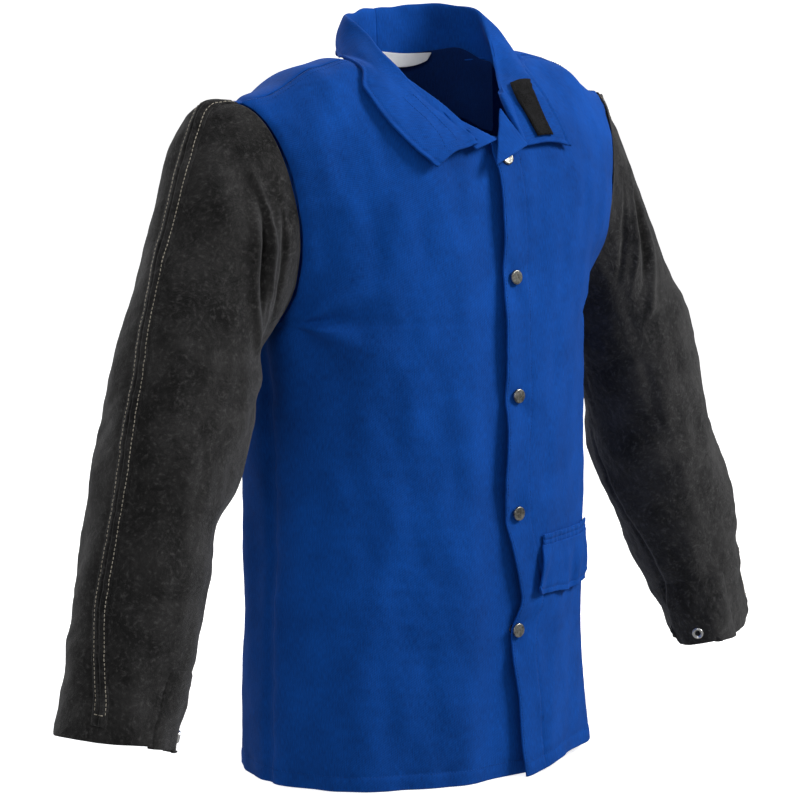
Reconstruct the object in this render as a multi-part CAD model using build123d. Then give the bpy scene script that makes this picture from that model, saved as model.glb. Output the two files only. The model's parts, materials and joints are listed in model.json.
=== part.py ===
from build123d import *
import math
import os

# A hip-length welding jacket in the shape it has when worn: cotton body, split-leather sleeves.
# Millimetres. +X is the wearer's left, -Y the front, +Z up.
# The origin is the centre of the neck opening, on the body's vertical axis.
# Heights h are measured up from the hem.

LENGTH = 735.0            # neck opening above the hem
CLOTH = 1.6               # cotton panel thickness
LEATHER = 2.0             # split-leather thickness
COLLAR = 3.0              # the collar's two layers and lining
SEAM_GAP = 0.4            # clear gap left at a seam between two panels
MOVE_GAP = 1.5            # clear gap at a joint

# Body sections: height above the hem, half width, half depth
SECTIONS = [
    (0, 205, 147), (150, 203, 148), (320, 203, 148), (470, 216, 146), (590, 240, 138), (710, 266, 133),
]
SQUARENESS = 2.15         # superellipse exponent of every body section
CHEST_H = 590.0           # the shoulders start to close above this height
FRONT_ARC = 80.0          # degrees of arc from the chest to the shoulder seam, forward of the ridge
SHOULDER_NECK = (88.0, 738.0)    # |x| and height where the shoulder line meets the neck
SHOULDER_TIP = (256.0, 700.0)    # |x| and height of the shoulder point

# Armhole: an oval seen from the side
ARMPIT_H = 470.0
ARMHOLE_H = 585.0         # its centre
ARMHOLE_HALF_DEPTH = 62.0

# Neck hole: an egg seen from above
NECK_HALF_WIDTH = 88.0
NECK_FRONT = 121.0
NECK_BACK = 70.0

# Front opening
OVERLAP = 16.0            # the left front's edge lies this far past the centre line
UNDERLAP = 26.0           # the right front's edge lies this far past it, underneath
LAYER_GAP = 4.2           # room between the two fronts for the press studs
SPLIT_FRONT_H = 458.0     # the left front swings open below this height at its edge
SPLIT_SIDE_H = 400.0      # and below this height at the side seam
FRONT_HINGE = (210.0, 1.0)       # x, y of the upright axis along the left side seam
SNAP_HEIGHTS_UPPER = (640.0, 519.0)
SNAP_HEIGHTS_LOWER = (397.5, 276.0, 154.5)
SNAP_R = 7.5

# Hip pocket on the left front
POCKET_X = (36.0, 160.0)
FLAP_TOP_H = 245.0
FLAP_DROP = 53.0
WELT_RISE = 10.0
POCKET_DEPTH = 125.0
FLAP_STANDOFF = 1.2

# Sleeve centre line: height, |x|, y, long half axis, short half axis
SLEEVE = [
    (75, 424, -14, 62, 43), (110, 413, -11, 62, 46), (200, 384, -4, 67, 57), (311, 349, 0, 74, 66),
    (358, 336, 0, 75, 67), (455, 303, 0, 75, 68), (525, 270, 0, 86, 67), (585, 238, 0, 112, 62),
]
CUFF_H = 76.0             # the sleeve's end on its centre line
SLEEVE_TURN = 45.0        # the cuff's long axis lies this far from outward towards the back
HEAD_PUFF = 35.0          # the sleeve's head swells out by this much
HEAD_PUFF_ANGLE = 335.0   # most on this side, a little behind the shoulder
HEAD_PUFF_SPREAD = 55.0
PIVOT = (243.0, 632.0)    # |x| and height of the sleeve's swing axis, which runs along Y
PIVOT_R = 98.0            # the sleeve's top slides round this radius
STRIP_WIDTH = 15.0
STRIP_TURN = 33.0         # the seam strip runs from the shoulder point to this angle at the cuff
CUFF_FLAP = (96.0, 176.0)       # angles round the cuff of the flap's fold and free edge
CUFF_FLAP_HEIGHT = 82.0
CUFF_SNAP_ANGLE = 142.0
CUFF_SNAP_RISE = 17.0

# Collar, |x|, y, height: the front leaves are flat from the roll line to the outer edge
LEAF_ROLL_NECK = (97.0, -38.0, 752.0)
LEAF_ROLL_FRONT = (54.0, -120.0, 681.0)
LEAF_EDGE_FRONT = (104.0, -135.0, 658.0)
LEAF_EDGE_NECK = (131.0, -52.0, 739.0)
STAND_TOP = [(0, 794), (45, 790), (80, 778), (95, 764), (108, 748)]     # turn round the neck, height
STAND_END = 108.0         # degrees round the neck, from the back, where the stand runs out
FALL_END = 104.0
FALL_DROP = [(0, 56), (45, 50), (90, 37), (105, 22)]     # turn round the neck, drop from roll to edge
TAPE_WIDTH = 18.0
TAPE_LENGTH = 64.0


def hermite(h, table, column):
    """Smooth value at h from the rows of a table sorted by its first column."""
    h = min(max(h, table[0][0]), table[-1][0])
    i = 0
    while i < len(table) - 2 and h > table[i + 1][0]:
        i += 1

    def slope(k):
        lo, hi = max(k - 1, 0), min(k + 1, len(table) - 1)
        return (table[hi][column] - table[lo][column]) / (table[hi][0] - table[lo][0])

    span = table[i + 1][0] - table[i][0]
    t = (h - table[i][0]) / span
    a, b = table[i][column], table[i + 1][column]
    rise_a, rise_b = slope(i) * span, slope(i + 1) * span
    return (2 * t**3 - 3 * t**2 + 1) * a + (t**3 - 2 * t**2 + t) * rise_a \
        + (3 * t**2 - 2 * t**3) * b + (t**3 - t**2) * rise_b


def smooth(t):
    t = min(max(t, 0.0), 1.0)
    return t * t * (3 - 2 * t)


def steps(start, end, count):
    return [start + (end - start) * i / (count - 1) for i in range(count)]


def place(point):
    x, y, h = point
    return Vector(x, y, h - LENGTH)


def mirrored(shape):
    return mirror(shape, about=Plane.YZ)


def on_side(side, shape):
    """A shape made for the left side (+1), or its mirror image for the right (-1)."""
    return shape if side > 0 else mirrored(shape)


# ---- body ----

def shoulder_height(x):
    """Height of the shoulder line at x; rounded over inside the neck hole."""
    fall = (SHOULDER_NECK[1] - SHOULDER_TIP[1]) / (SHOULDER_TIP[0] - SHOULDER_NECK[0])
    return SHOULDER_NECK[1] - (math.hypot(x, 30) - SHOULDER_NECK[0]) * fall


def body_point(angle, w):
    """Point on the body. angle: 0 front centre, 90 left side, 180 back.
    w: the height up to CHEST_H, then one more for each degree of arc over the shoulder."""
    across, along = math.sin(math.radians(angle)), math.cos(math.radians(angle))
    rounding = (abs(across) ** SQUARENESS + abs(along) ** SQUARENESS) ** (1 / SQUARENESS)
    arc = math.radians(max(w - CHEST_H, 0.0))
    h = min(w, CHEST_H)
    x = 0.0
    for _ in range(6):
        x = hermite(h, SECTIONS, 1) * across / rounding
        if w > CHEST_H:
            h = CHEST_H + (shoulder_height(x) - CHEST_H) * math.sin(arc)
    return x, -hermite(h, SECTIONS, 2) * along / rounding * math.cos(arc), h


def body_offset(angle, w, out):
    """Point on the body's surface moved outward by out."""
    here = Vector(*body_point(angle, w))
    round_it = Vector(*body_point(angle + 0.5, w)) - Vector(*body_point(angle - 0.5, w))
    up_it = Vector(*body_point(angle, w + 1)) - Vector(*body_point(angle, w - 1))
    moved = here + round_it.cross(up_it).normalized() * out
    return moved.X, moved.Y, moved.Z


def angle_at(x, w):
    """Angle on the front at which the surface reaches x, at w."""
    lo, hi = -89.0, 89.0
    for _ in range(40):
        mid = (lo + hi) / 2
        if body_point(mid, w)[0] < x:
            lo = mid
        else:
            hi = mid
    return lo


def side_angle(w):
    """Angle at which a panel ends: at the side seam, and above the armpit inside the armhole."""
    return 90.0 - math.degrees(SEAM_GAP / 200) - 10 * smooth((w - ARMPIT_H - 12) / 60)


def side_x(y, h):
    """|x| of the body's side surface at y and height h."""
    if h <= CHEST_H:
        lean = abs(y) / hermite(h, SECTIONS, 2)
        return hermite(h, SECTIONS, 1) * (1 - lean ** SQUARENESS) ** (1 / SQUARENESS)
    lo, hi = 100.0, hermite(h, SECTIONS, 1)
    for _ in range(30):
        x = (lo + hi) / 2
        rise = (h - CHEST_H) / (shoulder_height(x) - CHEST_H)
        inside = rise < 1 and abs(y) < hermite(h, SECTIONS, 2) * math.sqrt(1 - rise * rise) \
            * (1 - (x / hermite(h, SECTIONS, 1)) ** SQUARENESS) ** (1 / SQUARENESS)
        lo, hi = (x, hi) if inside else (lo, x)
    return lo


def thick_patch(point, us, vs, depth, toward):
    """Closed solid from a grid of points, thickened by depth on the side that faces toward."""
    face = Face.make_surface_from_array_of_points([[place(point(u, v)) for u in us] for v in vs], tol=0.1)
    facing = face.normal_at(face.center()).dot(Vector(*toward))
    return thicken(face, math.copysign(depth, facing))


def neck_point(turn, scale=1.0):
    """x, y on the neck hole. turn: 0 back centre, 90 left side, 180 front."""
    t = math.radians(turn)
    reach = NECK_BACK if math.cos(t) > 0 else NECK_FRONT
    return NECK_HALF_WIDTH * scale * math.sin(t), reach * scale * math.cos(t)


def neck_prism():
    outline = [neck_point(turn) for turn in range(0, 360, 12)]
    egg = Face(Wire([Edge.make_spline([Vector(x, y, 500 - LENGTH) for x, y in outline], periodic=True)]))
    return extrude(egg, 400, dir=(0, 0, 1))


def seam_height(x, y):
    """Height of the body's surface over x, y near the neck."""
    h = 700.0
    for _ in range(8):
        half_width = hermite(h, SECTIONS, 1)
        across = (1 - abs(x / half_width) ** SQUARENESS) ** (1 / SQUARENESS)
        lean = min(abs(y) / (hermite(h, SECTIONS, 2) * across), 1.0)
        h = CHEST_H + (shoulder_height(x) - CHEST_H) * math.sqrt(1 - lean * lean)
    return h


def armhole_prism():
    """Oval bars through both armholes."""
    oval = Plane(origin=(0, 0, ARMHOLE_H - LENGTH), x_dir=(0, 1, 0), z_dir=(1, 0, 0)) \
        * Ellipse(ARMHOLE_HALF_DEPTH + 1, ARMHOLE_H - ARMPIT_H + 3)
    left = extrude(Pos(120, 0, 0) * oval, 220, dir=(1, 0, 0))
    return left + mirrored(left)


def make_back_panel(holes):
    def point(u, v):
        w = v * (CHEST_H + 180 - FRONT_ARC - math.degrees(SEAM_GAP / 130))
        edge = 180 - side_angle(w)
        return body_point(edge + u * (360 - 2 * edge), w)

    return thick_patch(point, steps(0, 1, 33), steps(0, 1, 45), CLOTH, (0, 1, 0)) - holes


def make_right_front_panel(holes):
    def point(u, v):
        w = v * (CHEST_H + FRONT_ARC)
        inner, outer = angle_at(UNDERLAP, w), -side_angle(w)
        angle = inner + u * (outer - inner)
        x, _, _ = body_point(angle, w)
        under = (LAYER_GAP + CLOTH) * smooth((x + 60) / 36)
        return body_offset(angle, w, -under)

    return thick_patch(point, steps(0, 1, 33), steps(0, 1, 49), CLOTH, (0, -1, 0)) - holes


def make_left_front(holes):
    def point(u, v):
        w = v * (CHEST_H + FRONT_ARC)
        inner, outer = angle_at(-OVERLAP, w), side_angle(w)
        return body_point(inner + u * (outer - inner), w)

    return thick_patch(point, steps(0, 1, 33), steps(0, 1, 49), CLOTH, (0, -1, 0)) - holes


def above_split(gap):
    """Everything above the line where the left front swings open, less a gap."""
    run = Vector(FRONT_HINGE[0] + OVERLAP, 0, SPLIT_SIDE_H - SPLIT_FRONT_H)
    line = Plane(origin=(-OVERLAP, 0, SPLIT_FRONT_H - LENGTH), x_dir=run, z_dir=run.cross(Vector(0, 1, 0)))
    return line * Pos(0, 0, 300 - gap) * Box(900, 600, 600)


def front_strip(x_from, x_to, low, high, out, depth):
    """Flat-lying strip on the front between two x, from low to high, its inner face out from the body."""
    def point(u, v):
        w = low + v * (high - low)
        return body_offset(angle_at(x_from + u * (x_to - x_from), w), w, out)

    rows = max(4, round((high - low) / 30))
    return thick_patch(point, steps(0, 1, 7), steps(0, 1, rows), depth, (0, -1, 0))


# ---- press studs ----

def stud_plane(h):
    """Plane on the outer face of the left front at the centre line, its Z pointing out of the jacket."""
    w = h
    if h > CHEST_H:
        w = CHEST_H + math.degrees(math.asin((h - CHEST_H) / (shoulder_height(0) - CHEST_H)))
    here, out = Vector(*body_point(0, w)), Vector(*body_offset(0, w, 1))
    normal = out - here
    return Plane(origin=place(body_offset(0, w, CLOTH)), x_dir=(1, 0, 0), z_dir=normal)


def disc(radius, low, high):
    return Pos(0, 0, (low + high) / 2) * Cylinder(radius, abs(high - low))


def snap_cap(radius=SNAP_R):
    """Domed cap lying on the outer face at Z 0."""
    dome = disc(radius, 0.1, 2.3)
    return fillet(dome.edges().sort_by(Axis.Z)[-1], 1.4)


def snap_socket(radius=5.5, layer=CLOTH):
    """Female half on the inner face."""
    return disc(radius, -layer - 0.5, -layer - 2.4) - disc(2.7, 0, -layer - 5)


def snap_stud(radius=5.0, layer=CLOTH):
    """Male half on the outer face of the layer below."""
    base = -layer - LAYER_GAP + 0.1
    return disc(radius, base, base + 0.8) + disc(1.7, base, base + 2.6)


def snap_eyelet(radius=5.5, layer=CLOTH):
    """Ring that holds the stud from the inside."""
    back = -2 * layer - LAYER_GAP - 0.1
    return disc(radius, back, back - 1.0) - disc(2.0, back + 1, back - 3)


def snaps(maker, heights):
    return Compound([stud_plane(h).location * maker() for h in heights])


# ---- hip pocket ----

def pocket_patch(low, high, out, depth, inset=0.0):
    return front_strip(POCKET_X[0] + inset, POCKET_X[1] - inset, low, high, out, depth)


# ---- collar ----

def stand_top(turn):
    """Height of the collar's roll line. turn: 0 back, 90 side."""
    return hermite(abs(turn), STAND_TOP, 1)


def make_collar_stand():
    def point(u, v):
        x, y = neck_point(u, 0.975)
        seam = seam_height(*neck_point(u)) - 3
        top = stand_top(u)
        return x, y, seam + v * (top - seam)

    outer = Face.make_surface_from_array_of_points(
        [[place(point(u, v)) for u in steps(-STAND_END, STAND_END, 37)] for v in (0, 0.5, 1)], tol=0.05)
    facing = outer.normal_at(outer.center()).dot(Vector(0, 1, 0))
    return thicken(outer, -math.copysign(COLLAR, facing))


def make_collar_fall():
    """The turned-down part behind the neck, outside the stand."""
    def point(u, v):
        x, y = neck_point(u, 1.04)
        far_x, far_y = neck_point(u, 1.26 + 0.16 * smooth(abs(u) / 90))
        spread = v + 0.05 * math.sin(math.pi * v)
        height = stand_top(u) + 1 - hermite(abs(u), FALL_DROP, 1) * v
        return x + (far_x - x) * spread, y + (far_y - y) * spread, height

    return thick_patch(point, steps(-FALL_END, FALL_END, 31), steps(0, 1, 7), COLLAR, (0, 1, 1))


def leaf_point(side, u, v):
    """u: 0 at the neck end, 1 at the front end. v: 0 at the roll line, 1 at the outer edge."""
    neck = [a + (b - a) * v for a, b in zip(LEAF_ROLL_NECK, LEAF_EDGE_NECK)]
    front = [a + (b - a) * v for a, b in zip(LEAF_ROLL_FRONT, LEAF_EDGE_FRONT)]
    x, y, h = (a + (b - a) * u for a, b in zip(neck, front))
    return side * x, y, h


def make_leaf(side):
    few = steps(0, 1, 4)
    return thick_patch(lambda u, v: leaf_point(side, u, v), few, few, COLLAR, (0, -1, 1))


def make_tape(side, above):
    """Hook or loop tape on a leaf, above it or underneath."""
    corners = [Vector(*leaf_point(side, u, v)) for u, v in ((0, 0.5), (1, 0.5), (0.5, 0), (0.5, 1))]
    along, across = (corners[1] - corners[0]), (corners[3] - corners[2])
    out = along.cross(across)
    out = out * math.copysign(1 / out.length, out.Z)
    lift = COLLAR + 0.3 if above else -0.6

    def point(u, v):
        x, y, h = leaf_point(side, 0.58 + (u - 0.5) * TAPE_LENGTH / along.length,
                             0.5 + (v - 0.5) * TAPE_WIDTH / across.length)
        return x + out.X * lift, y + out.Y * lift, h + out.Z * lift

    toward = (0, -1, 1) if above else (0, 1, -1)
    return thick_patch(point, steps(0, 1, 4), steps(0, 1, 4), 1.2, toward)


def make_label():
    """Small tab hanging inside the back of the neck, from the stand's seam."""
    def point(u, v):
        return -34 + 46 * u, NECK_BACK - 14 - 4 * v, 742 - 26 * v

    return thick_patch(point, steps(0, 1, 4), steps(0, 1, 4), 0.6, (0, -1, 0))


# ---- sleeves, made for the left side ----

def sleeve_section(s, angle):
    """Point on the sleeve. s: 0 armhole to 1 cuff. angle: 0 outer, 90 front, 180 inner, 270 back."""
    h = ARMHOLE_H + (CUFF_H - ARMHOLE_H) * s
    lean = math.atan2(hermite(h - 6, SLEEVE, 1) - hermite(h + 6, SLEEVE, 1), 12.0)
    upright = smooth(1 - s / 0.3)          # near the armhole the sections stand up to lie in its plane
    tilt = lean * (1 - upright) + math.radians(82) * upright
    long_half, short_half = hermite(h, SLEEVE, 3), hermite(h, SLEEVE, 4)
    turn = math.radians(-SLEEVE_TURN * smooth(s / 0.45))
    a = math.radians(angle)
    reach = 1 / math.hypot(math.cos(a - turn) / long_half, math.sin(a - turn) / short_half)
    section = Vector(hermite(h, SLEEVE, 1) + reach * math.cos(a) * math.cos(tilt),
                     hermite(h, SLEEVE, 2) - reach * math.sin(a),
                     h + reach * math.cos(a) * math.sin(tilt))
    ring_y, ring_h = -ARMHOLE_HALF_DEPTH * math.sin(a), ARMHOLE_H + (ARMHOLE_H - ARMPIT_H) * math.cos(a)
    ring = Vector(side_x(ring_y, ring_h) + CLOTH + 2 * SEAM_GAP, ring_y, ring_h)
    off_centre = (angle - HEAD_PUFF_ANGLE + 180) % 360 - 180
    swell = smooth(s / 0.085) * smooth((0.26 - s) / 0.165)
    puff = HEAD_PUFF * swell * math.exp(-(off_centre / HEAD_PUFF_SPREAD) ** 2)
    return ring * (1 - smooth(s / 0.26)) + section * smooth(s / 0.26) + Vector(0.82, 0.5, 0.28) * puff


def sleeve_point(s, angle, out=0.0):
    """Point on the sleeve's surface moved outward by out."""
    here = sleeve_section(s, angle)
    if out:
        round_it = sleeve_section(s, angle + 1) - sleeve_section(s, angle - 1)
        down_it = sleeve_section(s + 0.004, angle) - sleeve_section(s - 0.004, angle)
        here += round_it.cross(down_it).normalized() * out
    return here.X, here.Y, here.Z


def pivot_cylinder(radius):
    return Pos(PIVOT[0], 0, PIVOT[1] - LENGTH) * Rot(90, 0, 0) * Cylinder(radius, 400)


def make_sleeve_half(front):
    first, last = (0.0, 180.0) if front else (180.0, 360.0)
    gap = math.degrees(SEAM_GAP / 66)

    def point(u, v):
        return sleeve_point(v, first + gap + u * (last - first - 2 * gap))

    return thick_patch(point, steps(0, 1, 15), steps(0, 1, 29), LEATHER, (0, -1 if front else 1, 0))


def sleeve_strip_patch(s_from, s_to, angle_at_s, half_angle_at_s, out, depth, columns, rows, toward):
    def point(u, v):
        s = s_from + (s_to - s_from) * v
        return sleeve_point(s, angle_at_s(s) + (2 * u - 1) * half_angle_at_s(s), out)

    return thick_patch(point, steps(0, 1, columns), steps(0, 1, rows), depth, toward)


def strip_angle(s):
    return STRIP_TURN * smooth(s)


def make_seam_strip():
    def half(s):
        return math.degrees(STRIP_WIDTH / 2 / hermite(ARMHOLE_H + (CUFF_H - ARMHOLE_H) * s, SLEEVE, 4))

    return sleeve_strip_patch(0.04, 0.985, strip_angle, half, LEATHER + 1.9, 1.2, 4, 28, (1, 0, 0))


def cuff_flap_angles(s):
    return (CUFF_FLAP[0] + CUFF_FLAP[1]) / 2


def make_cuff_flap():
    top = 1 - CUFF_FLAP_HEIGHT / (ARMHOLE_H - CUFF_H)
    half = (CUFF_FLAP[1] - CUFF_FLAP[0]) / 2
    flap = sleeve_strip_patch(top, 0.985, cuff_flap_angles, lambda s: half, LEATHER + LAYER_GAP, LEATHER,
                              11, 7, (-1, -0.5, 0))
    return flap - cuff_snap_location() * disc(5.6, -9, 0.3)     # hole for the press stud


def cuff_snap_location():
    """On the cuff flap's outer face, Z pointing out of the sleeve."""
    s = 1 - CUFF_SNAP_RISE / (ARMHOLE_H - CUFF_H)
    out = LEATHER + LAYER_GAP + LEATHER

    def on_flap(along, turn):
        return Vector(*sleeve_point(s + along, CUFF_SNAP_ANGLE + turn, out))

    here = on_flap(0, 0)
    round_it = on_flap(0, 1) - on_flap(0, -1)
    down_it = on_flap(0.01, 0) - on_flap(-0.01, 0)
    normal = round_it.cross(down_it)
    if normal.X > 0:
        normal = -normal
    return Plane(origin=here - Vector(0, 0, LENGTH), x_dir=round_it, z_dir=normal).location


def cuff_ring():
    """Open ring cap with a sunk eyelet."""
    ring = disc(6.5, 0.35, 1.9) - disc(3.6, 1.0, 3)
    return ring + disc(1.6, 1.0, 1.7)


def save(name, shape):
    solids = shape.solids()
    export_step(solids[0] if len(solids) == 1 else Compound(solids), f"parts/{name}.step")


def main():
    os.makedirs("parts", exist_ok=True)
    holes = neck_prism() + armhole_prism()
    save("back_panel", make_back_panel(holes))
    save("right_front_panel", make_right_front_panel(holes))
    left_front = make_left_front(holes)
    save("left_front_upper", left_front & above_split(0))
    save("left_front_panel", left_front - above_split(MOVE_GAP))
    save("collar_stand", make_collar_stand())
    save("collar_fall", make_collar_fall())
    save("neck_label", make_label())

    lower, upper = SNAP_HEIGHTS_LOWER, SNAP_HEIGHTS_UPPER
    save("front_snap_caps", snaps(snap_cap, lower))
    save("front_snap_sockets", snaps(snap_socket, lower))
    save("upper_snap_caps", snaps(snap_cap, upper))
    save("upper_snap_sockets", snaps(snap_socket, upper))
    save("front_snap_studs", snaps(snap_stud, lower + upper))
    save("front_snap_eyelets", snaps(snap_eyelet, lower + upper))

    flap_low = FLAP_TOP_H - FLAP_DROP
    save("pocket_flap", pocket_patch(flap_low, FLAP_TOP_H - 1, CLOTH + FLAP_STANDOFF, 2 * CLOTH))
    save("pocket_welt", pocket_patch(FLAP_TOP_H + 0.6, FLAP_TOP_H + WELT_RISE, CLOTH + 0.3, CLOTH))
    save("pocket_bag", pocket_patch(FLAP_TOP_H - POCKET_DEPTH, FLAP_TOP_H, -2 * CLOTH - 0.4, 2 * CLOTH, 4))

    halves = {"front": make_sleeve_half(True), "back": make_sleeve_half(False)}
    strip, flap, spot = make_seam_strip(), make_cuff_flap(), cuff_snap_location()
    inside, outside = pivot_cylinder(PIVOT_R), pivot_cylinder(PIVOT_R + MOVE_GAP)
    for side, name in ((1, "left"), (-1, "right")):
        for half, shape in halves.items():
            save(f"{name}_sleeve_{half}", on_side(side, shape - outside))
            save(f"{name}_sleeve_head_{half}", on_side(side, shape & inside))
        save(f"{name}_seam_strip", on_side(side, strip - outside))
        save(f"{name}_head_strip", on_side(side, strip & inside))
        save(f"{name}_cuff_flap", on_side(side, flap))
        save(f"{name}_cuff_ring", on_side(side, spot * cuff_ring()))
        save(f"{name}_cuff_socket", on_side(side, spot * snap_socket(5.0, LEATHER)))
        save(f"{name}_cuff_stud", on_side(side, spot * snap_stud(4.6, LEATHER)))
        save(f"{name}_collar_leaf", make_leaf(side))
    save("hook_tape", make_tape(1, above=True))
    save("loop_tape", make_tape(-1, above=False))


if __name__ == "__main__":
    main()
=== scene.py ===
import json
import math

import bpy
import numpy as np
from mathutils import Vector
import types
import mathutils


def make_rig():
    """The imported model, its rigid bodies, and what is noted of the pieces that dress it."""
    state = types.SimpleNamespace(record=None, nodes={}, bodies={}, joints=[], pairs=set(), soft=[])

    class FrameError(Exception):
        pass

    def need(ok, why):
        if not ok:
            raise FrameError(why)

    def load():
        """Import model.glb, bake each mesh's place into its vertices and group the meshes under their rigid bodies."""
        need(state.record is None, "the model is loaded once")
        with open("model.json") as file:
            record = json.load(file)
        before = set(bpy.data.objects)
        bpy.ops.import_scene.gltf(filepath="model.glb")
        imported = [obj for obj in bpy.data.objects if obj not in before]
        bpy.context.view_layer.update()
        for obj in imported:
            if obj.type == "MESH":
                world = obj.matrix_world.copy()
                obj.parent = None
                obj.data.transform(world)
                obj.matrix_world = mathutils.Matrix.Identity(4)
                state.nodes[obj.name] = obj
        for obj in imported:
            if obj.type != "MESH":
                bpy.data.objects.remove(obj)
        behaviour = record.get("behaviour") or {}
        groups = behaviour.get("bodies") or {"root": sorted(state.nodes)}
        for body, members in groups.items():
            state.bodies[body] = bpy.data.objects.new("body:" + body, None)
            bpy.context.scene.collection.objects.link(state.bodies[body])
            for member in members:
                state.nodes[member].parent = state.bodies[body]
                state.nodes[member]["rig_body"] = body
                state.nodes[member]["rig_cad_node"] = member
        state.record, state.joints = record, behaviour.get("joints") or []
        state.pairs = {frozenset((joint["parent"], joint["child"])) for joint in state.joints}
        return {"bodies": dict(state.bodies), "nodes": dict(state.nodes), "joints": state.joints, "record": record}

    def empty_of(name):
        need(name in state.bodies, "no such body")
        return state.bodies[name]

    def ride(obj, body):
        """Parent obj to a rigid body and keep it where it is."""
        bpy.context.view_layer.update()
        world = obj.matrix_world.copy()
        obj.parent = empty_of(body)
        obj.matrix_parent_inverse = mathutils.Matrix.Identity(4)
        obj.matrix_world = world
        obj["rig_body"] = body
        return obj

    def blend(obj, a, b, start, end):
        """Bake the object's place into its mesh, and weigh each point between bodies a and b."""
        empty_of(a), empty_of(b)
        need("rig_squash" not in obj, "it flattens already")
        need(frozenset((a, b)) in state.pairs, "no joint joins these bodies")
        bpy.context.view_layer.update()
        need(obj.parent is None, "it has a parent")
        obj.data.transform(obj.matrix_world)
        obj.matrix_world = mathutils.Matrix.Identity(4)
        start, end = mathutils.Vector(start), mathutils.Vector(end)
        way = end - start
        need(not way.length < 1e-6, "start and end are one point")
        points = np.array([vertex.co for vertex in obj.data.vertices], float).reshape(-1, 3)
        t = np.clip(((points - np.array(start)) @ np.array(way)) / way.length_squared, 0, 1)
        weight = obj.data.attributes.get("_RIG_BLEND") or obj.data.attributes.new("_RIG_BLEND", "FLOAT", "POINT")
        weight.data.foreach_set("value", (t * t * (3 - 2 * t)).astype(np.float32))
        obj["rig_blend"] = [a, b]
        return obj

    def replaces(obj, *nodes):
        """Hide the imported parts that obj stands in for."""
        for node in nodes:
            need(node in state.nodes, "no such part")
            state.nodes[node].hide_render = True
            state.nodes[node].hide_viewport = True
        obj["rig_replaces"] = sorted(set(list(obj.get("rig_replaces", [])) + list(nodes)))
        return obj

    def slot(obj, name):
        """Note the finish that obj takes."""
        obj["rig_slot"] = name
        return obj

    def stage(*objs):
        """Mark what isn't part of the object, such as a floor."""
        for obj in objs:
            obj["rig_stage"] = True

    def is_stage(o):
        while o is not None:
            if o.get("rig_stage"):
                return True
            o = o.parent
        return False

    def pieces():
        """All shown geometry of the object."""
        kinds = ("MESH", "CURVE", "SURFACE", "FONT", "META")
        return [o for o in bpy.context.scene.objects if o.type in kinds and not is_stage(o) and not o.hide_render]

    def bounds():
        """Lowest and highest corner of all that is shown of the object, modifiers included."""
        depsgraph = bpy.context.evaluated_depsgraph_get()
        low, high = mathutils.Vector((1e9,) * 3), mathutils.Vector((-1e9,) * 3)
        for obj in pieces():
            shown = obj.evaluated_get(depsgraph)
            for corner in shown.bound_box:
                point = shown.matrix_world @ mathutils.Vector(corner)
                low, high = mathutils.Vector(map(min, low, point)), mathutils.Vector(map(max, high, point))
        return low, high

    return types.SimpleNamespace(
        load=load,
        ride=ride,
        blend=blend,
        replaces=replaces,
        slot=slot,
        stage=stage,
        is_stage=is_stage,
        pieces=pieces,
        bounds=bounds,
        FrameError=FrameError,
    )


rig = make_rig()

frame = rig.load()
cad_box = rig.bounds()

# Sizes are in millimetres, with heights h measured up from the hem, until as_frame turns them into metres.
LENGTH = 735.0                    # neck opening above the hem
# height, half width, half depth
SECTIONS = np.array([(0, 205, 147), (150, 203, 148), (320, 203, 148), (470, 216, 146), (590, 240, 138),
                     (710, 266, 133)], float)
SQUARENESS = 2.15                 # superellipse exponent of every body section
CHEST_H = 590.0
FRONT_ARC, BACK_ARC = 80.0, 99.8  # degrees over the shoulder to the seam, from the front and from the back
ARMPIT_H, ARMHOLE_H, ARMHOLE_HALF_DEPTH = 470.0, 585.0, 62.0
NECK_HALF_WIDTH, NECK_FRONT, NECK_BACK = 88.0, 121.0, 70.0
# height, x, y of the sleeve's centre line, then its long and short half axes
SLEEVE = np.array([(75, 424, -14, 62, 43), (110, 413, -11, 62, 46), (200, 384, -4, 67, 57), (311, 349, 0, 74, 66),
                   (358, 336, 0, 75, 67), (455, 303, 0, 75, 68), (525, 270, 0, 86, 67),
                   (585, 238, 0, 112, 62)], float)
CUFF_H = 76.0
HEAD_PUFF = 35.0
SLEEVE_LENGTH = ARMHOLE_H - CUFF_H
SNAP_HEIGHTS = (519.0, 397.5, 276.0, 154.5)
SEAM_ALLOWANCE = 15.0             # from the hem's fold up to its stitching
PLACKET = 36.0                    # from the front edge to its stitching
CLOTH, LEATHER = 2.1, 2.0
SIDES = ((1, "left"), (-1, "right"))


def as_frame(points):
    moved = np.array(points, float)
    moved[..., 2] -= LENGTH
    return moved * 0.001


def at(*point):
    return as_frame(point).tolist()


# ---- smooth helpers ----

def smooth(t):
    t = np.clip(t, 0.0, 1.0)
    return t * t * (3 - 2 * t)


def hump(distance, width):
    return np.exp(-(distance / width) ** 2)


def hermite(h, table, column):
    """Smooth value at h from a table sorted by its first column."""
    keys, values = table[:, 0], table[:, column]
    h = np.clip(h, keys[0], keys[-1])
    last = len(keys) - 1
    lo, hi = np.maximum(np.arange(last + 1) - 1, 0), np.minimum(np.arange(last + 1) + 1, last)
    slope = (values[hi] - values[lo]) / (keys[hi] - keys[lo])
    i = np.clip(np.searchsorted(keys, h, side="right") - 1, 0, last - 1)
    span = keys[i + 1] - keys[i]
    t = (h - keys[i]) / span
    return ((2 * t**3 - 3 * t**2 + 1) * values[i] + (t**3 - 2 * t**2 + t) * slope[i] * span
            + (3 * t**2 - 2 * t**3) * values[i + 1] + (t**3 - t**2) * slope[i + 1] * span)


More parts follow.
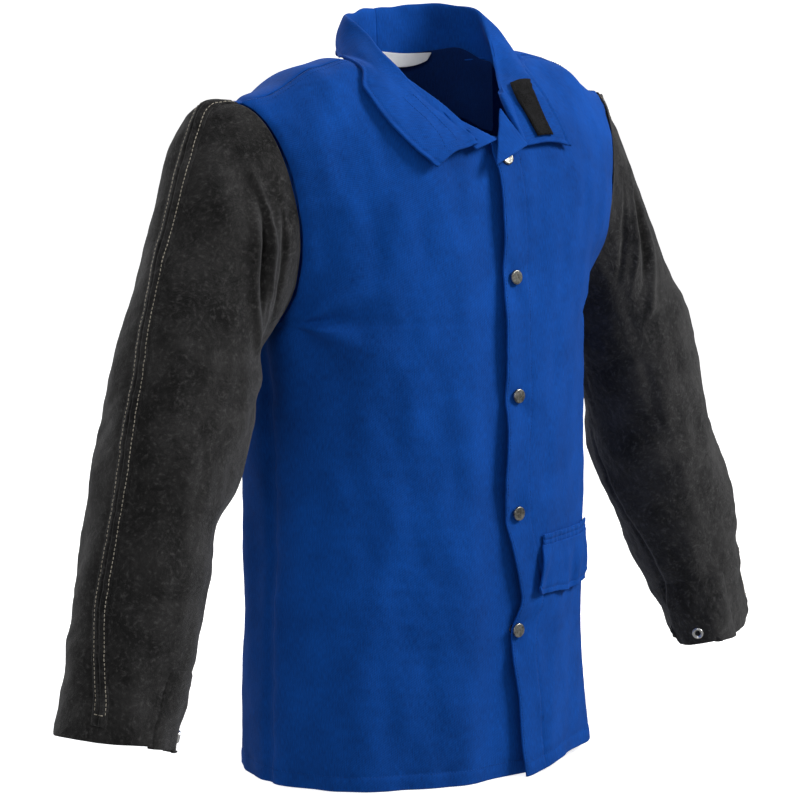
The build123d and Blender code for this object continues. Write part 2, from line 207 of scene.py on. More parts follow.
def ripple(points, wavelength, seed, stretch=(1, 1, 1)):
    """Gentle uneven waves, about -1 to 1, of one rough wavelength."""
    rng = np.random.default_rng(seed)
    total = np.zeros(points.shape[:-1])
    scaled = points / np.array(stretch, float)
    for _ in range(7):
        direction = rng.normal(size=3)
        direction /= np.linalg.norm(direction)
        size = wavelength * rng.uniform(0.75, 1.5)
        total += np.sin(scaled @ direction * 2 * math.pi / size + rng.uniform(0, 2 * math.pi))
    return total / 3.2


# ---- body surface ----

def shoulder_height(x):
    return 738.0 - (np.hypot(x, 30) - 88.0) * 38.0 / 168.0


def body_point(angle, w):
    """angle: 0 front centre, 90 left side, 180 back. w: height up to CHEST_H, then 1 more per degree of shoulder."""
    angle, w = np.broadcast_arrays(np.asarray(angle, float), np.asarray(w, float))
    across, along = np.sin(np.radians(angle)), np.cos(np.radians(angle))
    rounding = (np.abs(across) ** SQUARENESS + np.abs(along) ** SQUARENESS) ** (1 / SQUARENESS)
    arc = np.radians(np.maximum(w - CHEST_H, 0))
    h = np.minimum(w, CHEST_H)
    for _ in range(7):
        x = hermite(h, SECTIONS, 1) * across / rounding
        h = np.where(w > CHEST_H, CHEST_H + (shoulder_height(x) - CHEST_H) * np.sin(arc), w)
    y = -hermite(h, SECTIONS, 2) * along / rounding * np.cos(arc)
    return np.stack([x, y, h], axis=-1)


def bisect(test, lo, hi, rounds=34):
    """Where test, an array function that is true at lo and false at hi, changes."""
    for _ in range(rounds):
        middle = (lo + hi) / 2
        true = test(middle)
        lo, hi = np.where(true, middle, lo), np.where(true, hi, middle)
    return lo


def angle_at(x, w):
    x, w = np.broadcast_arrays(np.asarray(x, float), np.asarray(w, float))
    return bisect(lambda a: body_point(a, w)[..., 0] < x, np.full(x.shape, -89.0), np.full(x.shape, 89.0))


def side_limit(w, back=False):
    """Angle from the centre at which a panel meets the side seam or the armhole."""
    w = np.asarray(w, float)

    def outside(angle):
        point = body_point(180 - angle if back else angle, w)
        rise = np.clip((point[..., 2] - ARMHOLE_H) / (ARMHOLE_H - ARMPIT_H), -1, 1)
        return np.abs(point[..., 1]) > ARMHOLE_HALF_DEPTH * np.sqrt(1 - rise * rise)

    limit = bisect(outside, np.full(w.shape, 25.0), np.full(w.shape, 90.0))
    return np.where(body_point(90.0, w)[..., 2] <= ARMPIT_H, 90.0, limit)


def neck_radius(x, y):
    """Under 1 inside the neck hole."""
    return np.hypot(x / NECK_HALF_WIDTH, y / np.where(y < 0, NECK_FRONT, NECK_BACK))


def normals_of(points, wrap=False):
    """Unit normals of a grid of points."""
    if wrap:
        along_u = np.roll(points, -1, axis=1) - np.roll(points, 1, axis=1)
    else:
        along_u = np.gradient(points, axis=1)
    normal = np.cross(along_u, np.gradient(points, axis=0))
    size = np.linalg.norm(normal, axis=-1, keepdims=True)
    return normal / np.maximum(size, 1e-9)


# ---- meshes ----

def across(grid):
    """Distance in millimetres of every grid point from the first column."""
    return np.linalg.norm(np.diff(grid, axis=1, prepend=grid[:, :1]), axis=-1).cumsum(axis=1)


def upward(grid):
    """Distance in millimetres of every grid point from the first row."""
    return across(grid.swapaxes(0, 1)).T


def make_object(name, vertices, faces, uvs=None, material=None):
    mesh = bpy.data.meshes.new(name)
    mesh.from_pydata([tuple(v) for v in vertices], [], faces)
    mesh.validate()
    if uvs is not None:
        layer = mesh.uv_layers.new(name="cloth")
        order = np.empty(len(mesh.loops), int)
        mesh.loops.foreach_get("vertex_index", order)
        layer.data.foreach_set("uv", np.asarray(uvs, float)[order].ravel())
    mesh.polygons.foreach_set("use_smooth", np.ones(len(mesh.polygons), bool))
    thing = bpy.data.objects.new(name, mesh)
    bpy.context.scene.collection.objects.link(thing)
    mesh.materials.append(material)
    return thing


def make_piece(name, points, material, thickness=0.0, offset=0, levels=1, wrap=False, flip=False):
    """Cloth from a grid of points in millimetres, thickened and smoothed, with UVs in metres along the cloth."""
    rows, columns = points.shape[:2]
    index = np.arange(rows * columns).reshape(rows, columns)
    if wrap:
        index = np.concatenate([index, index[:, :1]], axis=1)
    corners = [index[:-1, :-1], index[:-1, 1:], index[1:, 1:], index[1:, :-1]]
    quads = np.stack(corners[::-1] if flip else corners, axis=-1).reshape(-1, 4)
    uvs = np.stack([across(points), upward(points)], axis=-1).reshape(-1, 2) * 0.001
    thing = make_object(name, as_frame(points).reshape(-1, 3), quads.tolist(), uvs, material)
    if thickness:
        solid = thing.modifiers.new("thickness", "SOLIDIFY")
        solid.thickness = thickness * 0.001
        solid.offset = offset
        solid.use_even_offset = False
    if levels:
        subdivision = thing.modifiers.new("smooth", "SUBSURF")
        subdivision.levels = subdivision.render_levels = levels
    return thing


def sample(grid, u, v, wrap=False):
    """Bilinear reading of a grid at fractional column u and row v, both counted in cells."""
    rows, columns = grid.shape[:2]
    u, v = np.asarray(u, float), np.clip(np.asarray(v, float), 0, rows - 1.001)
    u = np.mod(u, columns) if wrap else np.clip(u, 0, columns - 1.001)
    i, j = np.floor(u).astype(int), np.floor(v).astype(int)
    k = (i + 1) % columns
    fu, fv = (u - i)[..., None], (v - j)[..., None]
    low, high = (grid[row, i] * (1 - fu) + grid[row, k] * fu for row in (j, j + 1))
    return low * (1 - fv) + high * fv


# ---- stitches ----

def stitches(name, rows, material, pitch=3.4, length=2.5, radius=0.34, sides=5, sink=0.12):
    """Stitches along rows of (points, normals), each a short rounded bar that dips into the cloth at both ends."""
    vertices, faces = [], []
    profile = [(-0.5, 0.25, -0.9), (-0.36, 0.85, 0.2), (0, 1.0, 0.55), (0.36, 0.85, 0.2), (0.5, 0.25, -0.9)]
    turns = [2 * math.pi * k / sides for k in range(sides)]
    for points, normals in rows:
        steps = np.linalg.norm(np.diff(points, axis=0), axis=1)
        travelled = np.concatenate([[0], np.cumsum(steps)])
        count = int((travelled[-1] - length) // pitch) + 1
        starts = (np.arange(count) + 0.5) * pitch
        for start in starts:
            centre, ahead, normal = (np.array([np.interp(where, travelled, line[:, k]) for k in range(3)])
                                     for where, line in ((start, points), (start + 1, points), (start, normals)))
            forward = ahead - centre
            size = np.linalg.norm(forward)
            if size < 1e-6:
                continue
            forward /= size
            normal = normal - forward * (normal @ forward)
            normal /= max(np.linalg.norm(normal), 1e-9)
            sideways = np.cross(forward, normal)
            base = len(vertices)
            for along, wide, rise in profile:
                ring = centre + forward * (along * length) + normal * (radius * rise - sink)
                for turn in turns:
                    vertices.append(ring + (sideways * math.cos(turn) + normal * math.sin(turn)) * radius * wide)
            for k in range(len(profile) - 1):
                for m in range(sides):
                    n = (m + 1) % sides
                    low, high = base + k * sides, base + (k + 1) * sides
                    faces.append((low + m, low + n, high + n, high + m))
            faces.append(tuple(base + m for m in reversed(range(sides))))
            top = base + (len(profile) - 1) * sides
            faces.append(tuple(top + m for m in range(sides)))
    return make_object(name, as_frame(np.array(vertices)), faces, None, material)


# ---- materials ----

class Surface:
    """One material's nodes. A setting is a number, a colour or a node's output, and _ stands for a space."""

    def __init__(self, name):
        self.material = bpy.data.materials.new(name)
        self.material.use_nodes = True
        self.tree = self.material.node_tree

    def put(self, node, key, value):
        if isinstance(value, bpy.types.NodeSocket):
            self.tree.links.new(value, node.inputs[key])
        else:
            node.inputs[key].default_value = value

    def add(self, kind, **settings):
        node = self.tree.nodes.new("ShaderNode" + kind)
        for key, value in settings.items():
            if key.replace("_", " ") in node.inputs:
                self.put(node, key.replace("_", " "), value)
            else:
                setattr(node, key, value)
        return node

    def place(self):
        return self.add("TexCoord").outputs["Object"]

    def noise(self, vector, scale, detail, roughness=0.5):
        return self.add("TexNoise", Vector=vector, Scale=scale, Detail=detail, Roughness=roughness).outputs["Fac"]

    def stretched(self, vector, **settings):
        return self.add("Mapping", Vector=vector, **settings).outputs[0]

    def mix(self, factor, low, high):
        node = self.add("Mix", data_type="RGBA")
        for key, value in ((0, factor), (6, low), (7, high)):
            self.put(node, key, (*value, 1) if isinstance(value, tuple) else value)
        return node.outputs[2]

    def ranged(self, value, low, high, to_low=0.0, to_high=1.0):
        node = self.add("MapRange", Value=value, From_Min=low, From_Max=high, To_Min=to_low, To_Max=to_high)
        return node.outputs["Result"]

    def maths(self, operation, *values):
        node = self.add("Math", operation=operation)
        for key, value in enumerate(values):
            self.put(node, key, value)
        return node.outputs[0]

    def bump(self, height, strength, distance, **settings):
        return self.add("Bump", Height=height, Strength=strength, Distance=distance, **settings).outputs[0]

    def finish(self, **settings):
        for key, value in settings.items():
            self.put(self.tree.nodes["Principled BSDF"], key.replace("_", " "), value)
        return self.material


def cotton_material(name, dark, light):
    """Twill cotton: fine diagonal ribs, slubs, faint fading and lint."""
    cloth = Surface(name)
    uv, place = cloth.add("UVMap", uv_map="cloth").outputs[0], cloth.place()
    slanted = cloth.stretched(uv, Rotation=(0, 0, math.radians(63)))
    ribs = cloth.add("TexWave", Vector=slanted, Scale=207.0, Distortion=1.2, Detail=2.0, Detail_Scale=2.5)
    slubs = cloth.noise(cloth.stretched(uv, Scale=(900, 140, 1)), 1.0, 4.0)
    cross_slubs = cloth.noise(cloth.stretched(uv, Scale=(120, 800, 1)), 1.0, 3.0)
    fade, cloud = cloth.noise(place, 22.0, 6.0, 0.62), cloth.noise(place, 6.5, 3.0)
    tone = cloth.maths("MULTIPLY_ADD", fade, 0.55, cloth.ranged(slubs, 0.3, 0.7, 0.0, 0.3))
    tone = cloth.maths("ADD", tone, cloth.ranged(cloud, 0.3, 0.7, 0.0, 0.2))
    lint = cloth.add("TexVoronoi", Vector=place, Scale=420.0).outputs["Distance"]
    pale = tuple(min(1.0, c * 1.5 + 0.03) for c in light)
    colour = cloth.mix(cloth.ranged(lint, 0.10, 0.05, 0.0, 0.35),
                       cloth.mix(cloth.ranged(tone, 0.25, 0.8), dark, light), pale)
    height = cloth.maths("MULTIPLY_ADD", ribs.outputs["Fac"], 0.5, cloth.maths("ADD", slubs, cross_slubs))
    creased = cloth.bump(cloth.noise(place, 48.0, 5.0, 0.6), 0.35, 0.0022, Normal=cloth.bump(height, 0.35, 0.0004))
    return cloth.finish(Base_Color=colour, Normal=creased, Roughness=cloth.ranged(slubs, 0.2, 0.8, 0.78, 0.94),
                        Specular_IOR_Level=0.12, Sheen_Weight=0.06, Sheen_Roughness=0.45,
                        Sheen_Tint=(0.35, 0.5, 1.0, 1))


def suede_material(name, dark, light):
    """Split leather: short nap brushed in patches, pores and fine fibres."""
    hide = Surface(name)
    place = hide.place()
    warp = hide.add("TexNoise", Vector=place, Scale=16.0, Detail=3.0).outputs["Color"]
    shifted = hide.add("VectorMath", operation="MULTIPLY_ADD")
    for key, value in enumerate((warp, (0.03, 0.03, 0.03), place)):
        hide.put(shifted, key, value)
    patches = hide.noise(shifted.outputs[0], 20.0, 8.0, 0.66)
    flecks = hide.noise(shifted.outputs[0], 230.0, 6.0, 0.7)
    fibres = hide.noise(place, 1500.0, 4.0, 0.7)
    tone = hide.maths("MULTIPLY_ADD", patches, 0.62, hide.maths("MULTIPLY", flecks, 0.38))
    rubbed = hide.ranged(flecks, 0.54, 0.74, 0.0, 0.85)
    colour = hide.mix(rubbed, hide.mix(hide.ranged(tone, 0.40, 0.60), dark, light), tuple(c * 2.3 for c in light))
    lumps = hide.bump(flecks, 0.5, 0.0016, Normal=hide.bump(fibres, 0.55, 0.0009))
    return hide.finish(Base_Color=colour, Normal=hide.bump(patches, 0.4, 0.006, Normal=lumps),
                       Roughness=hide.ranged(flecks, 0.3, 0.7, 0.84, 1.0), Specular_IOR_Level=0.18,
                       Sheen_Weight=0.22, Sheen_Roughness=0.55, Sheen_Tint=(0.9, 0.9, 0.92, 1))


def thread_material(name, dark, light):
    """Twisted thread, a little soiled, and darker in the grooves of its twist as painted shade."""
    thread = Surface(name)
    place = thread.place()
    twist = thread.add("TexWave", Vector=place, Scale=700.0, Distortion=2.0).outputs["Fac"]
    # partly soil from random noise, partly painted shade: darker where the twist that also sets the bump is low
    soil_and_twist_shade = thread.ranged(thread.maths("MULTIPLY", twist, thread.noise(place, 60.0, 4.0)), 0.1, 0.5)
    return thread.finish(Base_Color=thread.mix(soil_and_twist_shade, dark, light), Normal=thread.bump(twist, 0.5, 0.0002),
                         Roughness=0.75, Specular_IOR_Level=0.2)


def metal_material(name, dark, light, roughness):
    """Plated metal with fine scratches and tarnish in the low places."""
    metal = Surface(name)
    place = metal.place()
    tarnish = metal.noise(place, 260.0, 6.0, 0.65)
    return metal.finish(Base_Color=metal.mix(metal.ranged(tarnish, 0.38, 0.62), dark, light), Metallic=1.0,
                        Roughness=metal.ranged(tarnish, 0.3, 0.7, roughness + 0.15, roughness),
                        Normal=metal.bump(metal.noise(place, 2600.0, 2.0), 0.25, 0.0001))


def tape_material(name):
    """Nylon hook tape: rows of tiny hooks, with random tone and painted shade in the sunk gaps between the hooks."""
    tape = Surface(name)
    place = tape.place()
    hooks = tape.add("TexVoronoi", Vector=place, Scale=900.0).outputs["Distance"]
    # painted shade: darker where the hook distance is large, in the gaps that the inverted bump sinks, varied by
    # random noise
    tone = tape.ranged(tape.maths("MULTIPLY", hooks, tape.noise(place, 140.0, 5.0)), 0.1, 0.4)
    return tape.finish(Base_Color=tape.mix(tone, (0.016, 0.016, 0.018), (0.002, 0.002, 0.002)),
                       Normal=tape.bump(hooks, 0.9, 0.0008, invert=True), Roughness=0.8, Specular_IOR_Level=0.15)


def label_material(name):
    """White satin label, blank, with a faint weave and creases, and painted grey shade where its creases sink."""
    satin = Surface(name)
    uv = satin.add("UVMap", uv_map="cloth").outputs[0]
    weave = satin.add("TexWave", Vector=uv, Scale=260.0, Distortion=0.6).outputs["Fac"]
    crease_and_shade = satin.noise(uv, 70.0, 4.0)
    # painted shade: the label is greyer where the crease noise is low, where that same noise sinks the creases
    return satin.finish(Base_Color=satin.mix(crease_and_shade, (0.62, 0.64, 0.68), (0.86, 0.87, 0.88)), Roughness=0.5,
                        Normal=satin.bump(satin.maths("ADD", weave, crease_and_shade), 0.4, 0.0004))


BLUE = cotton_material("royal_cotton", (0.0015, 0.042, 0.23), (0.0045, 0.096, 0.50))
# dark cloth for the pocket bag, also used for the strip of painted shade inside the neck
POCKETING_AND_SHADE = cotton_material("pocketing", (0.001, 0.012, 0.07), (0.003, 0.03, 0.15))
SUEDE = suede_material("split_leather", (0.0050, 0.0049, 0.0050), (0.0355, 0.0345, 0.0345))
CREAM = thread_material("cream_thread", (0.36, 0.32, 0.25), (0.78, 0.73, 0.62))
BLUE_THREAD = thread_material("blue_thread", (0.002, 0.035, 0.18), (0.006, 0.11, 0.50))
BLACK_THREAD = thread_material("black_thread", (0.004, 0.004, 0.005), (0.02, 0.02, 0.022))
GUNMETAL = metal_material("gunmetal", (0.12, 0.115, 0.10), (0.46, 0.45, 0.41), 0.30)
NICKEL = metal_material("nickel", (0.60, 0.60, 0.59), (0.92, 0.92, 0.91), 0.2)
DARK_METAL = metal_material("dark_metal", (0.01, 0.01, 0.01), (0.06, 0.06, 0.06), 0.4)
TAPE = tape_material("hook_tape")
LABEL = label_material("label")


# ---- body folds ----

def body_folds(points):
    """How far, in millimetres, the cloth stands out from the body's plain surface."""
    x, y, h = points[..., 0], points[..., 1], points[..., 2]
    low = smooth((330 - h) / 330)
    out = 2.2 * ripple(points, 190, 11, (1, 1, 2.6))
    out += (1.5 + 3.8 * low) * ripple(points, 95, 12, (1, 1, 5.5))
    out += 1.5 * ripple(points, 45, 13, (1, 1, 2.2)) + 0.5 * ripple(points, 19, 14)
    for side in (-1, 1):
        for front in (-1, 1):
            # drag lines that run out from each armpit
            reach_x, reach_h = side * x - 212, h - 478
            gap = np.sqrt(reach_x**2 + (y - front * 40)**2 * 0.5 + reach_h**2)
            rays = np.sin(5.5 * np.arctan2(reach_h, -reach_x + 1e-6) + 0.9 * side + 1.7 * front + 0.012 * gap)
            out += 5.6 * rays * np.exp(-gap / 80) * smooth(gap / 24) * smooth((front * y + 30) / 40)
    return out


def snap_dimples(points):
    """The cloth is drawn in round each press stud."""
    out = np.zeros(points.shape[:-1])
    for height in SNAP_HEIGHTS:
        gap = np.hypot(points[..., 0], points[..., 2] - height)
        turn = np.arctan2(points[..., 2] - height, points[..., 0] + 1e-6)
        out += hump(gap - 19, 11) * np.sin(3 * turn + height) - 1.6 * hump(gap, 13)
    return out


# the left front's edge wanders from its straight line: height, x
FRONT_EDGE = np.array([(-8, 9), (20, 6), (85, 0), (117, -7), (152, -7), (185, 5), (228, -6), (268, -16), (310, -20),
                       (363, -16), (397, -16), (450, -17), (519, -16), (560, -14), (640, -16), (800, -16)], float)


def neck_or_seam(angles_at, arc_end):
    """For each column, the w at which it reaches the neck hole or the shoulder seam."""
    ws = np.linspace(CHEST_H, CHEST_H + arc_end, 240)
    points = body_point(angles_at(ws), ws[:, None])
    inside = neck_radius(points[..., 0], points[..., 1]) < 1.0
    first = np.where(inside.any(axis=0), inside.argmax(axis=0), len(ws) - 1)
    return ws[first]


def panel_rows(tops, spacing):
    """Heights w of every row and column: close together at the hem and by the armpit, ending at each column's top."""
    hem = [0, 1.2, 4, 9, SEAM_ALLOWANCE - 1.4, SEAM_ALLOWANCE, SEAM_ALLOWANCE + 1.4, 21]
    lower = np.concatenate([hem, np.linspace(27, ARMPIT_H, int((ARMPIT_H - 27) / spacing))])
    turn = np.radians(np.linspace(0, 90, 22))[1:]
    middle = ARMHOLE_H - (ARMHOLE_H - ARMPIT_H) * np.cos(turn)
    fixed = np.concatenate([lower, middle])
    share = np.linspace(0, 1, 26)[1:]
    upper = middle[-1] + (tops[None, :] - middle[-1]) * share[:, None]
    return np.concatenate([np.repeat(fixed[:, None], len(tops), axis=1), upper])


def panel(angles_at, arc, spacing, samples, exact=False):
    """A panel's points and their w, for columns that lie at the angles angles_at gives for each w."""
    ws = panel_rows(neck_or_seam(angles_at, arc), spacing)
    table = np.linspace(0, CHEST_H + arc, samples)
    if exact:
        table = np.unique(np.concatenate([table, ws[:, 0]]))
    angles = angles_at(table)
    grid = np.stack([np.interp(ws[:, k], table, angles[:, k]) for k in range(ws.shape[1])], axis=1)
    return body_point(grid, ws), ws


def front_panel(start_of):
    """Grid of the left front, or of the right one before mirroring, from an edge at x = start_of(w)."""
    share = np.linspace(0, 1, 41)[1:]

    def angles_at(ws):
        near = angle_at(start_of(ws)[:, None] + NEAR_EDGE[None, :], ws[:, None])
        far = near[:, -1:] + (side_limit(ws)[:, None] - near[:, -1:]) * share[None, :]
        return np.concatenate([near, far], axis=1)

    return panel(angles_at, FRONT_ARC, 6.0, 420, exact=True)[0]


def facing(points):
    """Over zero if the grid's own winding faces out of the jacket."""
    return (normals_of(points) * points)[..., :2].sum()


def outward(points):
    """Unit normals of a body grid, all pointing out of the jacket."""
    return normals_of(points) * np.sign(facing(points))


def groove(distance, width, depth):
    """Cloth pulled down along a line of stitching."""
    return -depth * hump(distance, width)


def puckers(distance, along, reach, height, seed):
    """Small puckers beside a line of stitching."""
    wave = np.sin(along / 3.1 + seed) + np.sin(along / 5.3 + 2 * seed) + np.sin(along / 9.7 + 3 * seed)
    return height * wave / 3 * np.exp(-np.abs(distance) / reach)


# ---- the left side hangs flatter than the right ----

AHEAD = np.array([0.745, -0.667])     # towards the front left
# height, reach of the body that way
LEFT_REACH = np.array([(0, 176), (120, 171), (280, 173), (400, 173), (450, 173), (485, 176), (520, 186), (545, 195),
                       (585, 205), (640, 220), (800, 300)], float)


def tuck(points, weight=1.0):
    """Draws the front left corner of the body in, and lifts its hem a little."""
    h = points[..., 2]
    power = SQUARENESS / (SQUARENESS - 1)
    wide, deep = (hermite(h, SECTIONS, column) * abs(way) for column, way in ((1, AHEAD[0]), (2, AHEAD[1])))
    reach = (wide ** power + deep ** power) ** (1 / power)
    ahead = points[..., :2] @ AHEAD
    share = np.clip((ahead / reach - 0.6) / 0.4, 0, 1.2)
    shift = np.maximum(reach - hermite(h, LEFT_REACH, 1), 0) * share**2 * weight
    moved = points.copy()
    moved[..., :2] -= AHEAD * shift[..., None]
    moved[..., 2] += 9 * smooth((ahead - 110) / 55) * smooth((120 - h) / 120) * weight
    return moved


def lift_of(points):
    """The shoulders sit a little higher next to the collar."""
    x, y, h = points[..., 0], points[..., 1], points[..., 2]
    across_shoulder = smooth((222 - np.abs(x)) / 60) * (0.2 + 0.8 * smooth((np.abs(x) - 85) / 50))
    return 14 * smooth((h - 640) / 70) * across_shoulder * smooth((y + 95) / 55)


def raise_shoulders(points):
    return points + lift_of(points)[..., None] * [0, 0, 1]


# ---- front and back panels ----

# distances of the first columns from the front edge: close together at the edge and at the placket's stitching
NEAR_EDGE = np.array([0, 0.8, 2, 5, 9, 14, 19, 24, 29, 32.5, PLACKET - 1.4, PLACKET, PLACKET + 1.4, 39.5, 44, 49,
                      54, 59])
RIGHT_EDGE_X = -26.0
UNDERLAP = 4.0                    # degrees that the back runs on under the fronts

left_points = front_panel(lambda ws: np.interp(ws, FRONT_EDGE[:, 0], FRONT_EDGE[:, 1]))
right_points = front_panel(lambda ws: np.full(ws.shape, RIGHT_EDGE_X)) * [-1, 1, 1]


def low_underlap(ws):
    """Degrees more of it below the armhole, where the left front swings open."""
    return 4.5 * smooth((ARMPIT_H - ws) / 60)


def back_angles(ws):
    limit = side_limit(ws, back=True)
    limit = np.where(limit < 89.9, np.minimum(limit + UNDERLAP, 92.0), 88.0 + UNDERLAP + low_underlap(ws))
    return 180.0 - limit[:, None] * np.linspace(-1, 1, 85)[None, :]


back_points, back_ws = panel(back_angles, BACK_ARC, 8.0, 520)


def hem_shape(hem, along, seed):
    """The hem's turned-up cloth, its stitching and the puckers beside it."""
    from_stitches = hem - SEAM_ALLOWANCE
    fold = 0.9 * (1 - smooth((from_stitches + 1) / 2))
    return fold + groove(from_stitches, 1.6, 0.9) + puckers(from_stitches, along, 9, 0.8, seed)


def shaped_front(points, left):
    edge, hem = across(points), upward(points)
    side, top = edge[:, -1:] - edge, hem[-1:] - hem
    x, h = points[..., 0], points[..., 2]
    out = body_folds(points) + hem_shape(hem, edge, 1.3 if left else 4.1)
    out += groove(side, 5, 2.6) + puckers(side, hem, 16, 1.8, 2.2)
    out += (groove(top - 9, 1.5, 0.8) + puckers(top - 9, edge, 8, 0.8, 0.7)) * smooth((h - 640) / 20)
    if left:
        out += 1 - smooth((edge - PLACKET + 1) / 2) + groove(edge - PLACKET, 1.7, 1.1)
        out += puckers(edge - PLACKET, hem, 10, 1.1, 0.4) + puckers(edge, hem, 9, 1.2, 2.7)
        out *= 1 - 0.9 * hump(x, 26) * smooth((700 - h) / 40)
        out += snap_dimples(points)
        held = sum(hump(h - height, 30) for height in SNAP_HEIGHTS)
        out += 4.5 * (1 - np.minimum(held, 1)) * (1 - smooth(edge / 30)) * smooth((650 - h) / 30)
    else:
        # calm and sunk where it lies under the left front
        out *= 1 - 0.8 * smooth((x + 75) / 40)
        out -= 6.4 * smooth((x + 62) / 40)
    out += (3.0 if left else -2.0) * smooth((40 - h) / 40) * smooth((60 - np.abs(x)) / 60)
    return raise_shoulders(tuck(points + outward(points) * out[..., None]))


left_shaped = shaped_front(left_points, True)
right_shaped = shaped_front(right_points, False)
back_hem, back_across = upward(back_points), across(back_points)
back_out = body_folds(back_points) + hem_shape(back_hem, back_across, 5.2)
SIDE_GROOVE, PER_DEGREE = 14.0, 2.4       # in from the back's edge, more by the extra underlap
for from_side in (back_across, back_across[:, -1:] - back_across):
    from_groove = from_side - SIDE_GROOVE - PER_DEGREE * low_underlap(back_ws)
    back_out += groove(from_groove, 6, 2.6) + puckers(from_groove, back_hem, 16, 1.8, 2.2)
    back_out -= 2.2 * smooth((2 - from_groove) / 3) + 0.25 * np.clip(-9 - from_groove, 0, 12)
back_shaped = raise_shoulders(tuck(back_points + outward(back_points) * back_out[..., None]))

left_front, right_front, back = (
    make_piece(name, shaped, BLUE, CLOTH, -1, flip=facing(plain) < 0)
    for name, shaped, plain in (("left_front", left_shaped, left_points), ("right_front", right_shaped, right_points),
                                ("back", back_shaped, back_points)))


def sewn_line(grid, columns=None, rows=None, lift=0.1):
    """Points and normals along a grid, at a fractional column for each row or a fractional row for each column."""
    normals = outward(grid)
    if rows is None:
        u, v = columns, np.arange(grid.shape[0], dtype=float)
    else:
        u, v = np.arange(grid.shape[1], dtype=float), rows
    return sample(grid, u, v) + sample(normals, u, v) * lift, sample(normals, u, v)


def row_at(distances, value):
    """For each column, the fractional row at which an increasing distance reaches value."""
    rows = np.arange(distances.shape[0])
    return np.array([np.interp(value, distances[:, k], rows) for k in range(distances.shape[1])])


def hem_line(shaped, plain):
    return sewn_line(shaped, rows=row_at(upward(plain), SEAM_ALLOWANCE))


def shoulder_line(shaped, plain, inset):
    up = upward(plain)
    points, normals = sewn_line(shaped, rows=row_at(up - up[-1], -inset))
    keep = np.abs(points[:, 0]) > NECK_HALF_WIDTH + 4
    return points[keep], normals[keep]


edge_distance = across(left_points).T
front_rows = [sewn_line(left_shaped, columns=row_at(edge_distance, PLACKET)),
              sewn_line(left_shaped, columns=row_at(edge_distance, 2.6)), hem_line(left_shaped, left_points)]
jacket_rows = [hem_line(right_shaped, right_points), hem_line(back_shaped, back_points)]
for shaped, plain in ((left_shaped, left_points), (right_shaped, right_points)):
    jacket_rows += [shoulder_line(shaped, plain, inset) for inset in (3.0, 9.0)]

# ---- sleeves ----

RING_ANGLES = np.arange(0, 360, 2.0)


def ring_x(angle):
    """How far out the armhole's edge lies, at each turn round it."""
    y = np.abs(ARMHOLE_HALF_DEPTH * np.sin(np.radians(angle)))
    h = ARMHOLE_H + (ARMHOLE_H - ARMPIT_H) * np.cos(np.radians(angle))

    def inside(x):
        rise = (h - CHEST_H) / (shoulder_height(x) - CHEST_H)
        lean = np.sqrt(np.clip(1 - np.where(rise > 0, rise, 0) ** 2, 0, 1))
        width = np.clip(1 - np.clip(x / hermite(h, SECTIONS, 1), 0, 1) ** SQUARENESS, 0, 1) ** (1 / SQUARENESS)
        return (rise < 1) & (y < hermite(h, SECTIONS, 2) * lean * width)

    return bisect(inside, np.full(angle.shape, 100.0), hermite(h, SECTIONS, 1))


RING_X = ring_x(RING_ANGLES)


def sleeve_section(s, angle):
    """s: 0 at the armhole, 1 at the cuff. angle: 0 outer, 90 front, 180 inner, 270 back."""
    s, angle = np.broadcast_arrays(np.asarray(s, float), np.asarray(angle, float))
    h = ARMHOLE_H + (CUFF_H - ARMHOLE_H) * s
    lean = np.arctan2(hermite(h - 6, SLEEVE, 1) - hermite(h + 6, SLEEVE, 1), 12.0)
    upright = smooth(1 - s / 0.3)
    tilt = lean * (1 - upright) + math.radians(82) * upright
    turn = np.radians(-45 * smooth(s / 0.45))
    a = np.radians(angle)
    reach = 1 / np.hypot(np.cos(a - turn) / hermite(h, SLEEVE, 3), np.sin(a - turn) / hermite(h, SLEEVE, 4))
    section = np.stack([hermite(h, SLEEVE, 1) + reach * np.cos(a) * np.cos(tilt),
                        hermite(h, SLEEVE, 2) - reach * np.sin(a),
                        h + reach * np.cos(a) * np.sin(tilt)], axis=-1)
    edge = np.interp(np.mod(angle, 360), RING_ANGLES, RING_X, period=360)
    ring = np.stack([edge + 2.0, -ARMHOLE_HALF_DEPTH * np.sin(a),
                     ARMHOLE_H + (ARMHOLE_H - ARMPIT_H) * np.cos(a)], axis=-1)
    share = smooth(s / 0.26)[..., None]
    swell = smooth(s / 0.085) * smooth((0.26 - s) / 0.165)
    puff = HEAD_PUFF * swell * hump(off_angle(angle, 335), 55)
    return ring * (1 - share) + section * share + puff[..., None] * np.array([0.82, 0.5, 0.28])


def off_angle(angle, centre):
    return (angle - centre + 180) % 360 - 180


def sleeve_normals(s, angle):
    step = np.cross(sleeve_section(s, angle + 1) - sleeve_section(s, angle - 1),
                    sleeve_section(s + 0.004, angle) - sleeve_section(s - 0.004, angle))
    return step / np.linalg.norm(step, axis=-1, keepdims=True)


# s, angle of the seam strip down the outer arm
STRIP_PATH = np.array([(0, 0), (0.2, 1), (0.345, 8), (0.47, 14), (0.57, 14), (0.65, 14), (0.81, 17), (0.9, 25),
                       (0.94, 30), (1, 31)], float)


def strip_angle(s):
    return hermite(s, STRIP_PATH, 1)


